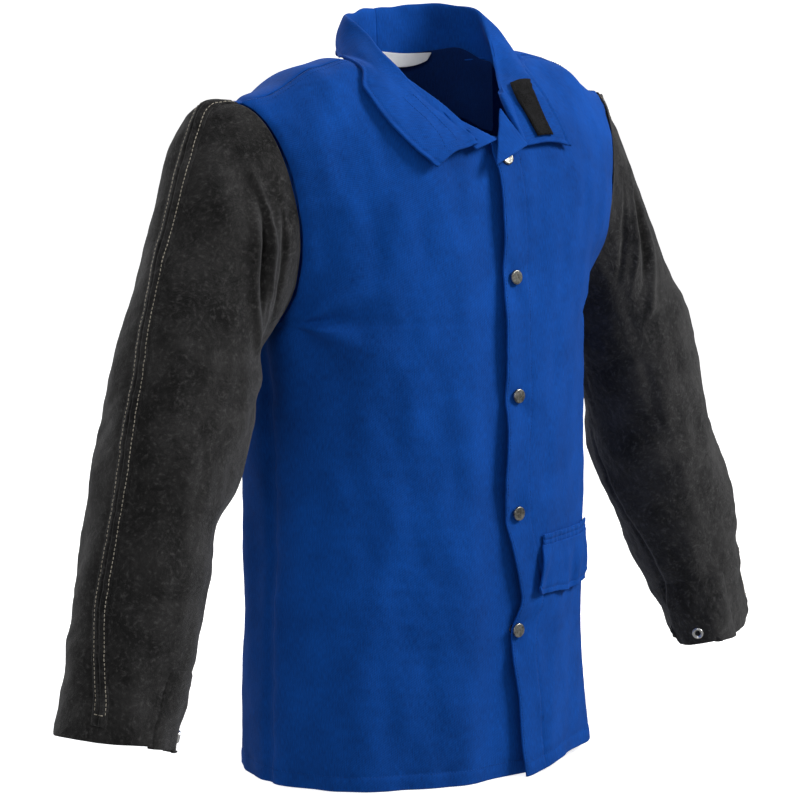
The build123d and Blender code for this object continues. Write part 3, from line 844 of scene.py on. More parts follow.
# deep folds in front of each armpit: path of s and angle, height in mm, which is below zero for a valley, width in mm
ARMPIT_FOLDS = (
    (((0.10, 44), (0.117, 50.8), (0.129, 77.7), (0.152, 89.7), (0.168, 104), (0.19, 125)), 5.5, 6.5),
    (((0.12, 55), (0.143, 72.8), (0.163, 82.5), (0.182, 94.3), (0.205, 118)), -9.0, 5.5),
    (((0.13, 52), (0.151, 65.9), (0.172, 75.7), (0.194, 87.4), (0.216, 102.3), (0.25, 118)), 7.0, 7.5),
    (((0.09, 62), (0.105, 84), (0.125, 98), (0.140, 112), (0.16, 134)), -5.0, 7.0),
)
# broad dents and swells of each sleeve: height, s and its reach, angle and its reach
DENTS = {-1: ((-13, 0.20, 0.06, 140, 35), (-11, 0.58, 0.08, 139, 40)),
         1: ((-13, 0.22, 0.05, 32, 35), (7, 0.55, 0.10, 218, 38))}
# left sleeve's lapped seam, running up from the cuff's flap: s, angle
LAP_SEAM = np.array([(0.46, 200), (0.544, 192), (0.665, 176), (0.742, 166), (0.816, 160), (0.9, 166),
                     (1, 174)], float)


def sleeve_folds(s, angle, side):
    """How far the leather stands out from the plain sleeve, before mirroring."""
    place = sleeve_section(s, angle)
    h, around = place[..., 2], np.radians(angle)
    radius = hermite(ARMHOLE_H - SLEEVE_LENGTH * s, SLEEVE, 4)
    seed = 30 if side > 0 else 50

    def from_line(line):
        return np.radians(off_angle(angle, line)) * radius

    out = 2.4 * ripple(place, 120, seed, (1, 1, 1.4)) + 1.5 * ripple(place, 58, seed + 1, (1, 1, 1.3))
    out += 0.8 * ripple(place, 27, seed + 2) + 0.35 * ripple(place, 12, seed + 3)
    for path, height, width in ARMPIT_FOLDS:
        path = np.array(path, float)
        run = smooth((s - path[0, 0]) / 0.025) * smooth((path[-1, 0] - s) / 0.03)
        out += height * hump(from_line(hermite(s, path, 1)), width) * run * (1.0 if side < 0 else 0.6)
    inner = hump(off_angle(angle, 160), 62)
    drag = np.sin(h / 8.5 + 2.2 * np.cos(np.radians(angle - 120)) + 0.8 * side)
    elbow = np.sin(h / 12.5 + 2.6 * np.cos(np.radians(angle - 100)) + side)
    back_creases = np.sin(h / 15.0 + 3.0 * np.sin(around) + 2 * side)
    wrist = np.sin(h / 8.0 + 1.7 * np.sin(around))
    out += inner * (1.8 * drag * hump(s - 0.27, 0.06) + 2.6 * elbow * hump(s - 0.57, 0.13))
    out += 1.5 * back_creases * hump(off_angle(angle, 270), 70) * hump(s - 0.5, 0.2)
    out += 1.3 * wrist * hump(s - 0.86, 0.08)
    for height, s_centre, s_reach, line, line_reach in DENTS[side]:
        out += height * hump(s - s_centre, s_reach) * hump(off_angle(angle, line), line_reach)
    if side < 0:
        out -= 3 * smooth((s - 0.5) / 0.1) * hump(off_angle(angle, 320), 40)
    else:
        out += 9 * smooth((s - 0.55) / 0.15) * hump(off_angle(angle, 45), 38) * smooth((1.0 - s) / 0.03 + 0.3)
        out -= 10 * hump(off_angle(angle, 0), 55) * smooth((0.24 - s) / 0.12)
        lap = from_line(hermite(s, LAP_SEAM, 1))
        lapped = 2.2 * smooth((0.8 - lap) / 1.6) * np.exp(-np.maximum(-lap, 0) / 26) - 2.6 * hump(lap - 2.6, 2.4)
        out += smooth((s - 0.46) / 0.08) * lapped
    out -= 1.2 * hump(from_line(180 + 6 * side), 2.5) * (1 if side < 0 else smooth((0.46 - s) / 0.06))
    out -= hump(np.abs(from_line(strip_angle(s))) - 9, 2.5)
    out *= smooth(s / 0.05) * 0.9 + 0.1
    return out - 1.6 * (1 - smooth(s / 0.02))


LEFT_HITCH = 17.0                 # the left sleeve is hitched up by this much at its cuff


def sleeve_surface(s, angle, side, extra=0.0):
    out = sleeve_folds(s, angle, side) + extra
    points = (sleeve_section(s, angle) + sleeve_normals(s, angle) * out[..., None]) * [side, 1, 1]
    if side > 0:
        points = tuck(points, 1 - smooth(s / 0.2))
        points[..., 2] += LEFT_HITCH * smooth((s - 0.5) / 0.5)
    # the cuff's edge wavers
    wave = 2.2 * np.sin(np.radians(angle) * 2 + side) + 1.4 * np.sin(np.radians(angle) * 3 + 2)
    points[..., 2] += wave * smooth((s - 0.9) / 0.1)
    return points


SLEEVE_ROWS = np.concatenate([np.linspace(0, 0.05, 8)[:-1], np.linspace(0.05, 0.30, 56)[:-1],
                              np.linspace(0.30, 0.97, 96)[:-1], np.linspace(0.97, 1.0, 9)])
SLEEVE_COLUMNS = np.arange(0, 360, 2.5)
# seam strip across its width: offset from its middle, height above the leather, with its two stitched ridges
STRIP_PROFILE = np.array([(-8.3, 0.1), (-8.1, 0.9), (-7.0, 1.3), (-5.4, 0.9), (-3.4, 1.9), (-2.0, 2.2), (-1.2, 1.6),
                          (-0.5, 0.3), (0.2, 2.0), (1.2, 2.7), (3.0, 2.0), (5.4, 0.9), (7.0, 1.3), (8.1, 0.9),
                          (8.3, 0.1)])
STRIP_STITCHES = (3, 11)          # columns of the profile under the two rows of stitches

sleeves, strips, strip_rows = {}, {}, {}
for side, name in SIDES:
    s_grid, a_grid = np.meshgrid(SLEEVE_ROWS, SLEEVE_COLUMNS, indexing="ij")
    sleeves[name] = make_piece(f"{name}_sleeve", sleeve_surface(s_grid, a_grid, side), SUEDE, LEATHER, -1,
                               wrap=True, flip=side < 0)

    s_strip = np.linspace(0.006 if side < 0 else 0.03, 0.978, 190)[:, None]
    offsets, heights = STRIP_PROFILE.T[:, None, :]
    turn = strip_angle(s_strip) + np.degrees(offsets / hermite(ARMHOLE_H - SLEEVE_LENGTH * s_strip, SLEEVE, 4))
    s_all = np.broadcast_to(s_strip, turn.shape)
    uneven = 0.3 * np.sin(s_all * SLEEVE_LENGTH / 6.0 + offsets) + 0.3 * np.sin(s_all * SLEEVE_LENGTH / 2.3)
    strip_points = sleeve_surface(s_all, turn, side, heights + uneven)
    strips[name] = make_piece(f"{name}_strip", strip_points, SUEDE, 1.2, -1, flip=side < 0)
    strip_normals = sleeve_normals(s_all, turn) * [side, 1, 1]
    strip_rows[name] = [(strip_points[:-4, k], strip_normals[:-4, k]) for k in STRIP_STITCHES]
    strip_rows[name].append((strip_points[-5, 3:12], strip_normals[-5, 3:12]))


def turned(name, profile, place, way, material):
    """Lathe-turned metal part: profile of radius and height in millimetres round the direction way."""
    first = np.cross(way, [0, 0, 1.0])
    first /= np.linalg.norm(first)
    second = np.cross(way, first)
    turns = np.linspace(0, 2 * math.pi, 48, endpoint=False)[:, None]
    rings = [place + way * z + r * (np.cos(turns) * first + np.sin(turns) * second) for r, z in profile]
    return make_piece(name, np.array(rings), material, wrap=True)


# ---- cuff flaps: a flap of the sleeve's leather over the vent, free at its edge ----

FLAP_TOP_S, FLAP_FOLD, FLAP_EDGE = 1 - 82 / SLEEVE_LENGTH, 96.0, 168.0
SNAP_ANGLE, SNAP_RISE = 141.0, 19.0
# name, body, CAD node that it stands for, material, profile
SNAP_PARTS = (
    ("ring_cap", "cuff", "cuff_ring", NICKEL,
     ((1.5, 0.4), (3.3, 0.5), (3.9, 1.5), (4.8, 2.0), (5.8, 1.8), (6.5, 1.1), (6.7, -0.6))),
    ("ring_well", "cuff", None, DARK_METAL,
     ((0.01, 0.7), (1.0, 1.3), (1.5, 1.0), (1.7, 0.6), (3.6, 0.6), (3.7, 1.2))),
    ("snap_socket", "cuff", "cuff_socket", NICKEL,
     ((0.01, -2.2), (4.6, -2.2), (5.0, -2.6), (5.0, -3.4), (4.4, -3.8), (2.0, -3.8), (0.01, -3.2))),
    ("snap_stud", "sleeve", "cuff_stud", NICKEL,
     ((0.01, 1.5), (1.7, 1.4), (1.9, 0.9), (2.6, 0.5), (4.4, 0.4), (4.7, 0.0))),
)
cuffs, cuff_snaps = {}, {}
for side, name in SIDES:
    u, v = np.meshgrid(np.linspace(0, 1, 46), np.linspace(0, 1, 44), indexing="ij")
    corner = 0.05 * np.clip((u - 0.93) / 0.07, 0, 1) ** 2
    s_flap = FLAP_TOP_S + (1.006 - FLAP_TOP_S - corner) * v
    bend_in = 3.0 * np.clip((v - 0.9) / 0.1, 0, 1) ** 2 + 5.0 * np.clip((0.12 - v) / 0.12, 0, 1) ** 2
    turn = FLAP_FOLD + (FLAP_EDGE - bend_in - FLAP_FOLD) * u
    raised = 0.5 + 3.4 * smooth(u / 0.25) * smooth((v + 0.02) / 0.22) + 1.6 * u * v
    raised -= 2.4 * (1 - smooth(v / 0.06) * smooth(u / 0.06))
    raised += 0.5 * ripple(sleeve_section(s_flap, turn), 20, 80 + side)
    raised -= hump(np.hypot(np.radians(turn - SNAP_ANGLE) * 50, (1 - s_flap) * SLEEVE_LENGTH - SNAP_RISE), 9.49)
    flap_points = sleeve_surface(s_flap, turn, side, raised)
    cuffs[name] = make_piece(f"{name}_cuff", flap_points, SUEDE, LEATHER, -1, flip=side > 0)
    snap_s, snap_turn = np.array([1 - SNAP_RISE / SLEEVE_LENGTH]), np.array([SNAP_ANGLE])
    way = sleeve_normals(snap_s, snap_turn)[0] * [side, 1, 1]
    on_flap = flap_points[np.abs(turn[:, 20] - SNAP_ANGLE).argmin(), np.abs(s_flap[25] - snap_s).argmin()]
    seats = {"cuff": on_flap, "sleeve": sleeve_surface(snap_s, snap_turn, side)[0]}
    cuff_snaps[name] = [turned(f"{name}_{part}", profile, seats[body], way, material)
                        for part, body, _, material, profile in SNAP_PARTS]

# ---- collar: seam, roll and outer edge, from the back round to the leaf's end ----


def seam_height(x, y):
    """Height of the body's surface over x, y near the neck."""
    h = np.full(np.shape(x), 700.0)
    for _ in range(10):
        wide = (1 - np.abs(x / hermite(h, SECTIONS, 1)) ** SQUARENESS) ** (1 / SQUARENESS)
        lean = np.minimum(np.abs(y) / (hermite(h, SECTIONS, 2) * wide), 1.0)
        h = CHEST_H + (shoulder_height(x) - CHEST_H) * np.sqrt(1 - lean**2)
    return h


# turn round the neck from the back, then points on the roll and on the outer edge
RIGHT_COLLAR = (
    (0, (0, 75, 790), (0, 94, 738)), (40, (-43, 60, 786), (-50, 76, 740)), (70, (-77, 30, 783), (-88, 33, 745)),
    (92, (-82, -10, 765), (-110, 0, 736)), (108, (-88, -42, 744), (-121, -42, 720)),
    (122, (-76, -77, 712), (-138, -68, 713)), (135, (-60, -98, 688), (-135, -102, 681)),
    (146, (-46, -118, 668), (-119, -122, 655)), (150, (-44, -131, 656), (-97, -134, 635)))
LEFT_COLLAR = (
    (0, (0, 75, 790), (0, 94, 738)), (40, (48, 62, 794), (57, 82, 741)), (68, (75, 33, 794), (98, 48, 746)),
    (90, (83, 3, 787), (118, -4, 746)), (105, (75, -22, 763), (113, -32, 735)),
    (120, (56, -55, 729), (90, -70, 724)), (134, (28, -93, 704), (82, -104, 700)),
    (142, (22, -118, 678), (88, -119, 674)), (148, (26, -131, 653), (96, -129, 650)))


def above_body(points, gap):
    """Moves points out along the body's slope until they clear it, except over the neck hole."""
    moved = points.copy()
    for _ in range(3):
        x, y = moved[..., 0], moved[..., 1]
        height = seam_height(x, y) + lift_of(moved)
        slope_x = (seam_height(x + 1, y) - seam_height(x - 1, y)) / 2
        slope_y = (seam_height(x, y + 1) - seam_height(x, y - 1)) / 2
        normal = np.stack([-slope_x, -slope_y, np.ones(x.shape)], axis=-1)
        normal /= np.linalg.norm(normal, axis=-1, keepdims=True)
        short = np.maximum(height - moved[..., 2], -60) * normal[..., 2] + gap
        over = smooth((neck_radius(x, y) - 0.86) / 0.14)
        moved += normal * (np.maximum(short, 0) * over)[..., None]
    return moved


ROLL_ROW = 18                     # row of the collar's grid that lies on its roll


def catmull(knots, count, before=None):
    """Smooth curve through knots along the first axis, with count samples for each span."""
    first = 2 * knots[:1] - knots[1:2] if before is None else before[None]
    padded = np.concatenate([first, knots, 2 * knots[-1:] - knots[-2:-1]])
    spans = []
    for k in range(len(knots) - 1):
        a, b, c, d = padded[k:k + 4]
        t = np.linspace(0, 1, count, endpoint=False).reshape((-1,) + (1,) * (knots.ndim - 1))
        spans.append(b + 0.5 * ((c - a) * t + (2 * a - 5 * b + 4 * c - d) * t**2 + (3 * b - a - 3 * c + d) * t**3))
    return np.concatenate(spans + [knots[-1:]])


def neck_edge(degrees, drop):
    """Points round the neck hole, drop below the cloth and higher at the back."""
    a = np.radians(degrees)
    x, y = NECK_HALF_WIDTH * np.sin(a), np.where(np.cos(a) > 0, NECK_BACK, NECK_FRONT) * np.cos(a)
    return np.stack([x, y, seam_height(x, y) - drop + 16 * smooth((np.cos(a) + 0.1) / 0.6)], axis=-1)


def collar_half(table, side):
    """Grid of half the collar: rows from the neck seam over the roll to the outer edge, columns from the back."""
    seams = neck_edge(np.array([side * turn for turn, _, _ in table], float), 9)
    stations = np.array([(seam, roll, edge) for seam, (_, roll, edge) in zip(seams, table)], float)
    stations = catmull(stations, 10, stations[1] * [-1, 1, 1])
    seam, roll, edge = stations[:, 0], stations[:, 1], stations[:, 2]
    outward_way = edge - roll
    outward_way[:, 2] = 0
    outward_way /= np.maximum(np.linalg.norm(outward_way, axis=1, keepdims=True), 1e-6)
    up = np.array([0, 0, 1.0])
    # the two layers nearly touch below the roll, and the leaf bows out before it rests on the shoulder
    inner_top = roll * 0.92 + seam * 0.08 - outward_way * 3.2 - up * 1.5
    outer_top = roll * 0.92 + edge * 0.08 + outward_way * 3.0 - up * 0.2
    stand_mid = seam * 0.55 + roll * 0.45 - outward_way * 2.0
    leaf_mid = roll * 0.5 + edge * 0.5 + up * 3.6 + outward_way * 2.4
    near_edge_row = roll * 0.14 + edge * 0.86 + up * 1.6 + outward_way * 0.6
    net = catmull(np.stack([seam, stand_mid, inner_top, roll, outer_top, leaf_mid, near_edge_row, edge]), 6)
    resting = smooth((np.arange(len(net)) - ROLL_ROW - 3) / 6)[:, None, None]
    return net + (above_body(net, 3.2) - net) * resting


COLLAR_STITCH = 5.5               # stitching in from the outer edge and from the leaf's end
collars = {}
for side, name, table in ((1, "left", LEFT_COLLAR), (-1, "right", RIGHT_COLLAR)):
    grid = collar_half(table, side)
    normal = normals_of(grid)
    upside_down = normal[32, grid.shape[1] // 2, 2] < 0
    if upside_down:
        normal = -normal
    lengthwise, crosswise = across(grid), upward(grid)
    from_edge, from_end = crosswise[-1:] - crosswise, lengthwise[:, -1:] - lengthwise
    stitched = from_edge - COLLAR_STITCH
    out = groove(stitched, 1.5, 0.9) + groove(from_end - COLLAR_STITCH, 1.5, 0.8)
    out += puckers(stitched, lengthwise, 6, 0.9, 1.0 + side)
    out *= smooth((crosswise - crosswise[ROLL_ROW] - 6) / 8)
    out += ripple(grid, 60, 70 + side) + 0.6 * ripple(grid, 24, 72 + side)
    shaped = grid + normal * (out * smooth(lengthwise / 12))[..., None]
    shaped[:, 0, 0] -= side * 1.6         # the halves overlap at the centre back
    collar = make_piece(f"{name}_collar", shaped, BLUE, 3.0, -1, flip=upside_down)
    ks, js = (np.arange(count, dtype=float) for count in grid.shape[1::-1])
    lines = ((ks, row_at(-from_edge, -COLLAR_STITCH), from_end[-1] > COLLAR_STITCH),
             (row_at(-from_end.T, -COLLAR_STITCH), js, (js > ROLL_ROW + 1) & (from_edge.min(axis=1) > COLLAR_STITCH)))
    rows = [(sample(shaped, u, v)[keep], sample(normal, u, v)[keep]) for u, v, keep in lines]
    collars[name] = (collar, shaped, normal, rows, crosswise - crosswise[ROLL_ROW], from_end)


def on_collar(name, across_mm, from_end_mm, lift):
    """Points and normals on a collar leaf's top, measured from its roll and from its front end."""
    _, shaped, normal, _, from_roll, from_end = collars[name]
    rows, columns = from_roll.shape
    us, vs = [], []
    for a, b in zip(np.ravel(across_mm), np.ravel(from_end_mm)):
        column = columns - 1.0
        for _ in range(4):
            row = np.interp(a, from_roll[:, int(np.clip(round(column), 0, columns - 1))], np.arange(rows))
            column = np.interp(b, from_end[int(row), ::-1], np.arange(columns)[::-1])
        us.append(column)
        vs.append(row)
    points, normals = sample(shaped, us, vs), sample(normal, us, vs)
    shape = (*np.shape(across_mm), 3)
    return (points + normals * lift).reshape(shape), normals.reshape(shape)


def frame_rows(points, normals, inset_u=0.9, inset_v=0.7):
    """A closed rectangle of stitching on a grid patch."""
    rows, columns = points.shape[:2]
    u0, u1, v0, v1 = inset_u, rows - 1 - inset_u, inset_v, columns - 1 - inset_v
    us, vs = np.linspace(u0, u1, 14), np.linspace(v0, v1, 40)
    lines = [(vs, np.full(40, u0)), (vs, np.full(40, u1)), (np.full(14, v0), us), (np.full(14, v1), us)]
    return [(sample(points, a, b), sample(normals, a, b)) for a, b in lines]


TAPE_IN, TAPE_LEAN, TAPE_WIDE, TAPE_FROM_END, TAPE_LONG = 20.0, -8.0, 23.0, 7.5, 72.0
tape_u, tape_v = np.meshgrid(np.linspace(0, 1, 9), np.linspace(0, 1, 25), indexing="ij")
tape_place = TAPE_IN + TAPE_LEAN * tape_v + TAPE_WIDE * tape_u, TAPE_FROM_END + TAPE_LONG * tape_v
hook_points, hook_normals = on_collar("left", *tape_place, 2.2)
hook = make_piece("hook_tape_strip", hook_points, TAPE, 1.6, levels=0)
loop = make_piece("loop_tape_strip", on_collar("right", *tape_place, -3.8)[0], TAPE, 1.6, levels=0)
hook_rows = frame_rows(hook_points + hook_normals * 0.8, hook_normals)
outline_rows = frame_rows(*on_collar("right", *tape_place, 0.1))

# ---- neck corners: the tops of the fronts, standing past the collar's ends ----


def corner_patch(name, a, b, c, bulge):
    """Three-cornered piece of cloth between points a, b and c, bowed towards the front."""
    u, v = np.meshgrid(np.linspace(0, 1, 15), np.linspace(0, 1, 15), indexing="ij")
    a, b, c = (np.array(p, float) for p in (a, b, c))
    points = a + (b - a) * u[..., None] + (c - a) * (v * (1 - u))[..., None]
    middle = 4 * u * (1 - u) * (0.3 + 0.7 * v) + v * (1 - v)
    points += middle[..., None] * np.array([-0.3, -1.0, 0.15]) * bulge
    points[..., 1] -= 0.5 * ripple(points, 22, 91)
    return make_piece(name, points, BLUE, 2.2)


left_corner = corner_patch("left_neck_corner", (14, -104, 691), (23, -136, 653), (-28, -144, 634), 2.5)
right_corner = corner_patch("right_neck_corner", (-60, -97, 689), (-8, -124, 659), (-44, -131, 650), 2.0)

# ---- hip pocket ----

POCKET_X, POCKET_TOP, POCKET_DROP, WELT_TOP = (36.0, 160.0), 240.0, 53.0, 250.5
BAG_LOW, BAG_HIGH = 122.0, 238.0


def pocket_grid(us, vs, inset=0.0):
    """Points on the cloth and their normals. us: 0 next to the placket, 1 at the side; vs: heights."""
    u, h = np.meshgrid(us, vs)
    angle = angle_at(POCKET_X[0] + inset + (POCKET_X[1] - POCKET_X[0] - 2 * inset) * u, h)
    points = body_point(angle, h)
    normal = np.cross(body_point(angle + 0.4, h) - body_point(angle - 0.4, h),
                      body_point(angle, h + 1) - body_point(angle, h - 1))
    normal *= -np.sign(normal[..., 1:2]) / np.linalg.norm(normal, axis=-1, keepdims=True)
    return tuck(points + normal * body_folds(points)[..., None]), normal


flap_us = np.concatenate([[0, 0.008, 0.02, 0.04], np.linspace(0.07, 0.93, 44), [0.96, 0.98, 0.992, 1]])
flap_vs = np.concatenate([[0, 0.015, 0.05, 0.085, 0.105, 0.125], np.linspace(0.16, 0.94, 20), [0.97, 1]])
fu, fv = np.meshgrid(flap_us, flap_vs)
down = 1 - fv
pleats = 1.3 * np.sin(fu * 17 + 1.2 + 0.8 * down) + np.sin(fu * 29 + down * 2.5) + 0.3 * np.sin(fu * 53 - down)
flap_out = 3.0 + 2.2 * smooth(down * 2.5) + pleats * smooth(down * 3) * (0.5 + 0.5 * down)
flap_out += 3.0 * down * smooth((0.1 - fu) / 0.1)
for from_edge in (fv * POCKET_DROP - 6, fu * 130 - 5, (1 - fu) * 130 - 5):
    flap_out += groove(from_edge, 1.4, 0.8)
flap_shaped, flap_normals = pocket_grid(flap_us, POCKET_TOP - POCKET_DROP * (1 - flap_vs))
flap_shaped += flap_normals * flap_out[..., None]
flap_shaped[..., 0] -= (2 + 11 * down) * smooth((0.4 - fu) / 0.4)
rounded = np.clip((0.08 - fu) / 0.08, 0, 1) ** 2 + np.clip((fu - 0.92) / 0.08, 0, 1) ** 2
flap_shaped[..., 2] += 9 * rounded * smooth(1 - fv * 4) + 1.5 * np.sin(fu * 9) * down
pocket_flap = make_piece("pocket_flap_cloth", flap_shaped, BLUE, 2.6)
flap_rows = [(flap_shaped[part] + flap_normals[part] * 1.3, flap_normals[part])
             for part in ((slice(2, -2), 3), (slice(2, -2), -4), (4, slice(3, -3)))]

welt_us, welt_vs = np.linspace(-0.005, 1.005, 60), np.array([0, 0.06, 0.2, 0.4, 0.5, 0.6, 0.8, 0.94, 1.0])
wu, wv = np.meshgrid(welt_us, welt_vs)
welt_out = 1.4 + 1.2 * np.sqrt(np.abs(np.sin(np.pi * wv * 2))) + 0.5 * np.sin(wu * 70) + 0.3 * np.sin(wu * 131)
welt_shaped, welt_normals = pocket_grid(welt_us, POCKET_TOP - 1.0 + (WELT_TOP + 1.0 - POCKET_TOP) * welt_vs)
welt_shaped += welt_normals * welt_out[..., None]
welt = make_piece("pocket_welt_cloth", welt_shaped, BLUE, 2.0)
welt_rows = [(welt_shaped[k] + welt_normals[k] * 0.9, welt_normals[k]) for k in (1, 4, 7)]

bag_us, bag_vs = np.linspace(0, 1, 30), np.linspace(0, 1, 30)
bag_points, bag_normals = pocket_grid(bag_us, BAG_LOW + (BAG_HIGH - BAG_LOW) * bag_vs, 5.0)
sag = 1.6 * np.sin(np.pi * bag_us)[None, :] * np.sin(np.pi * bag_vs)[:, None]
bag = make_piece("pocket_bag_cloth", bag_points - bag_normals * (5.0 + sag)[..., None], POCKETING_AND_SHADE, 2.4)

# ---- neck label: a blank tab under the back of the collar ----

lu, lv = np.meshgrid(np.linspace(0, 1, 25), np.linspace(0, 1, 9))
tab_x = -34 + 90 * lu - 5 * lv * lu
tab_y = NECK_BACK * np.sqrt(1 - (tab_x / NECK_HALF_WIDTH) ** 2) - 9.0 - 1.5 * lv
tab_h = 745.5 - 3 * lu + np.sin(lu * 7) - 15 * lv * (1 - 0.45 * lu**8)
label = make_piece("label_tab", np.stack([tab_x, tab_y, tab_h], axis=-1), LABEL, 0.5)

# painted shade: a strip of the pocket bag's dark cloth round the inside of the neck below the stand, standing for the
# shade there
SHADE_STRIP_DEEP = 75.0
nv = np.linspace(0, 1, 8)[:, None, None]
shade_strip_points = neck_edge(np.linspace(-100, 100, 61), 1)[None] * [1, 1, 1] + 0 * nv
shade_strip_points[..., :2] *= 1 - 0.045 + 0.02 * nv
shade_strip_points[..., 2] -= SHADE_STRIP_DEEP * nv[..., 0]
neck_shade_strip = make_piece("neck_shade_strip", shade_strip_points, POCKETING_AND_SHADE, 1.0)

# ---- ride and replace ----

front_split = at(-16, -149, 508), at(-40.9, -149, 411)
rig.blend(left_front, "jacket", "left_front", *front_split)
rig.replaces(left_front, "left_front_upper", "left_front_panel")
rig.blend(stitches("left_front_stitches", front_rows, BLUE_THREAD), "jacket", "left_front", *front_split)
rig.ride(right_front, "jacket")
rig.replaces(right_front, "right_front_panel")
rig.ride(back, "jacket")
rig.replaces(back, "back_panel")
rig.ride(stitches("jacket_stitches", jacket_rows, BLUE_THREAD), "jacket")
for side, name in SIDES:
    cream = stitches(f"{name}_strip_stitches", strip_rows[name], CREAM, pitch=4.4, length=3.5, radius=0.5, sink=0.0)
    for piece in (sleeves[name], strips[name], cream):
        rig.blend(piece, "jacket", f"{name}_sleeve", at(side * 261, 0, 600), at(side * 386, 0, 525))
    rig.replaces(sleeves[name], f"{name}_sleeve_front", f"{name}_sleeve_back",
                f"{name}_sleeve_head_front", f"{name}_sleeve_head_back")
    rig.replaces(strips[name], f"{name}_seam_strip", f"{name}_head_strip")
    fold = (at(*(sleeve_section(np.array(0.92), np.array(a)) * [side, 1, 1])) for a in (98.0, 118.0))
    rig.blend(cuffs[name], f"{name}_sleeve", f"{name}_cuff", *fold)
    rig.replaces(cuffs[name], f"{name}_cuff_flap")
    for piece, (_, body, node, _, _) in zip(cuff_snaps[name], SNAP_PARTS):
        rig.ride(piece, f"{name}_{body}")
        if node:
            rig.replaces(piece, f"{name}_{node}")
    collar, _, _, rows, _, _ = collars[name]
    thread = stitches(f"{name}_collar_stitches", rows + (outline_rows if side < 0 else []), BLUE_THREAD)
    for piece in (collar, thread, hook if side > 0 else loop):
        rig.blend(piece, "jacket", f"{name}_collar", at(side * 95, 20, 760), at(side * 90, -45, 730))
    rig.replaces(collar, f"{name}_collar_leaf", "collar_fall" if side > 0 else "collar_stand")
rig.blend(stitches("hook_tape_stitches", hook_rows, BLACK_THREAD), "jacket", "left_collar",
         at(95, 20, 760), at(90, -45, 730))
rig.replaces(hook, "hook_tape")
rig.replaces(loop, "loop_tape")
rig.ride(neck_shade_strip, "jacket")
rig.ride(label, "jacket")
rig.replaces(label, "neck_label")
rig.ride(left_corner, "jacket")
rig.ride(right_corner, "jacket")
flap_hinge = at(98, -140, POCKET_TOP + 1), at(98, -140, POCKET_TOP - 10)
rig.blend(pocket_flap, "left_front", "pocket_flap", *flap_hinge)
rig.replaces(pocket_flap, "pocket_flap")
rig.blend(stitches("pocket_flap_stitches", flap_rows, BLUE_THREAD), "left_front", "pocket_flap", *flap_hinge)
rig.ride(welt, "left_front")
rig.replaces(welt, "pocket_welt")
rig.ride(stitches("pocket_welt_stitches", welt_rows, BLUE_THREAD), "left_front")
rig.ride(bag, "left_front")
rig.replaces(bag, "pocket_bag")
SLOTS = {"cotton": (left_front, right_front, back, pocket_flap, welt, left_corner, right_corner,
                    collars["left"][0], collars["right"][0]),
         "suede": (*sleeves.values(), *strips.values(), *cuffs.values()),
         # the dark strip inside the neck is painted shade in the pocket bag's finish
         "pocketing": (bag, neck_shade_strip), "label": (label,), "hook_tape": (hook, loop)}
for slot, pieces in SLOTS.items():
    for piece in pieces:
        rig.slot(piece, slot)

# ---- CAD nodes that stay: press studs get their finish ----

STUDS = {GUNMETAL: ("front_snap_caps", "upper_snap_caps"),
         NICKEL: ("front_snap_sockets", "upper_snap_sockets", "front_snap_studs", "front_snap_eyelets")}
for material, names in STUDS.items():
    for name in names:
        thing = frame["nodes"][name]
        thing.data.materials.clear()
        thing.data.materials.append(material)

# ---- floor, backdrop, light, camera ----

floor_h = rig.bounds()[0][2]


def white_paper(name, glow):
    paper = Surface(name)
    grain = paper.add("TexNoise", Scale=30.0, Detail=3.0).outputs["Fac"]
    return paper.finish(Base_Color=paper.mix(grain, (0.90, 0.90, 0.90), (0.93, 0.93, 0.93)), Roughness=0.9,
                        Emission_Color=(1, 1, 1, 1), Emission_Strength=glow)


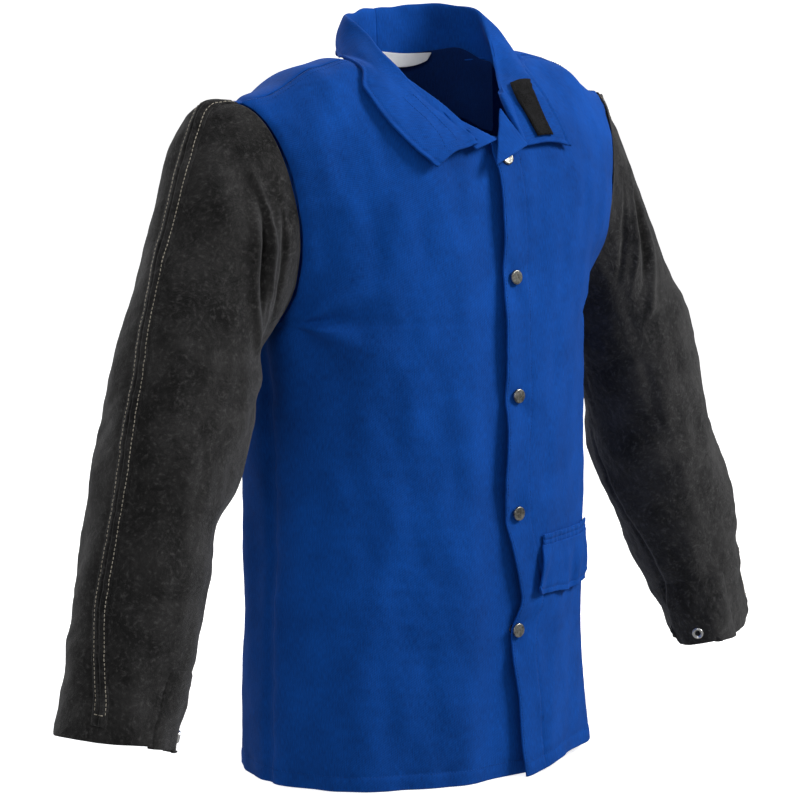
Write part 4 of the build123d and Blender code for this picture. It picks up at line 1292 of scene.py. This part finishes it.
def stage_disc(name, radius, height, material, dome=False):
    """Round floor, or a dome over it."""
    if dome:
        rings = [(radius * math.cos(t), height + radius * math.sin(t))
                 for t in np.linspace(-0.05, math.pi / 2 - 0.02, 12)]
    else:
        rings = [(radius * k / 6 + 0.001, height) for k in range(7)]
    vertices = [(r * math.cos(a), r * math.sin(a), z)
                for r, z in rings for a in np.linspace(0, 2 * math.pi, 48, endpoint=False)]
    faces = [(k * 48 + m, k * 48 + (m + 1) % 48, (k + 1) * 48 + (m + 1) % 48, (k + 1) * 48 + m)
             for k in range(len(rings) - 1) for m in range(48)]
    thing = make_object(name, vertices, faces, None, material)
    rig.stage(thing)
    thing.visible_diffuse = thing.visible_glossy = thing.visible_shadow = False


stage_disc("floor", 25.0, floor_h, white_paper("floor_paper", 0.80))
stage_disc("backdrop", 24.0, floor_h, white_paper("backdrop_paper", 1.0), dome=True)

world = bpy.data.worlds.new("studio")
bpy.context.scene.world = world
world.use_nodes = True
world.node_tree.nodes["Background"].inputs["Color"].default_value = (1.0, 1.0, 1.0, 1)
world.node_tree.nodes["Background"].inputs["Strength"].default_value = 0.30
bpy.context.scene.view_settings.view_transform = "Standard"


def lamp(name, place, target, size, watts):
    light = bpy.data.lights.new(name, "AREA")
    light.shape = "RECTANGLE"
    light.size, light.size_y = size
    light.energy = watts
    thing = bpy.data.objects.new(name, light)
    bpy.context.scene.collection.objects.link(thing)
    thing.location = place
    thing.rotation_euler = (Vector(target) - Vector(place)).to_track_quat("-Z", "Y").to_euler()


lamp("key", (1.9, -2.1, 1.8), (0, 0, -0.2), (1.3, 1.3), 96)
lamp("left_fill", (-2.6, -1.4, 1.2), (0, 0, -0.3), (1.0, 1.0), 16)
lamp("back_rim", (0.5, 2.6, 1.8), (0, 0, -0.2), (1.6, 1.0), 40)

TURN, LIFT, DISTANCE = math.radians(41.8), math.radians(6.67), 4.013
view_back = Vector((-math.sin(TURN) * math.cos(LIFT), -math.cos(TURN) * math.cos(LIFT), math.sin(LIFT)))
view_right = Vector((math.cos(TURN), -math.sin(TURN), 0))
view_up = view_back.cross(view_right)
aim = Vector((0, 0, -0.335)) + view_right * -0.0221 + view_up * -0.0195
camera = bpy.data.objects.new("camera", bpy.data.cameras.new("camera"))
bpy.context.scene.collection.objects.link(camera)
camera.location = aim + view_back * DISTANCE
camera.rotation_euler = (aim - camera.location).to_track_quat("-Z", "Y").to_euler()
camera.data.lens = 171.6
camera.data.sensor_width = 36.0
camera.data.clip_end = 100.0
bpy.context.scene.camera = camera

with open("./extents.json", "w") as size_file:
    json.dump([[list(corner) for corner in box] for box in (cad_box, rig.bounds())], size_file)
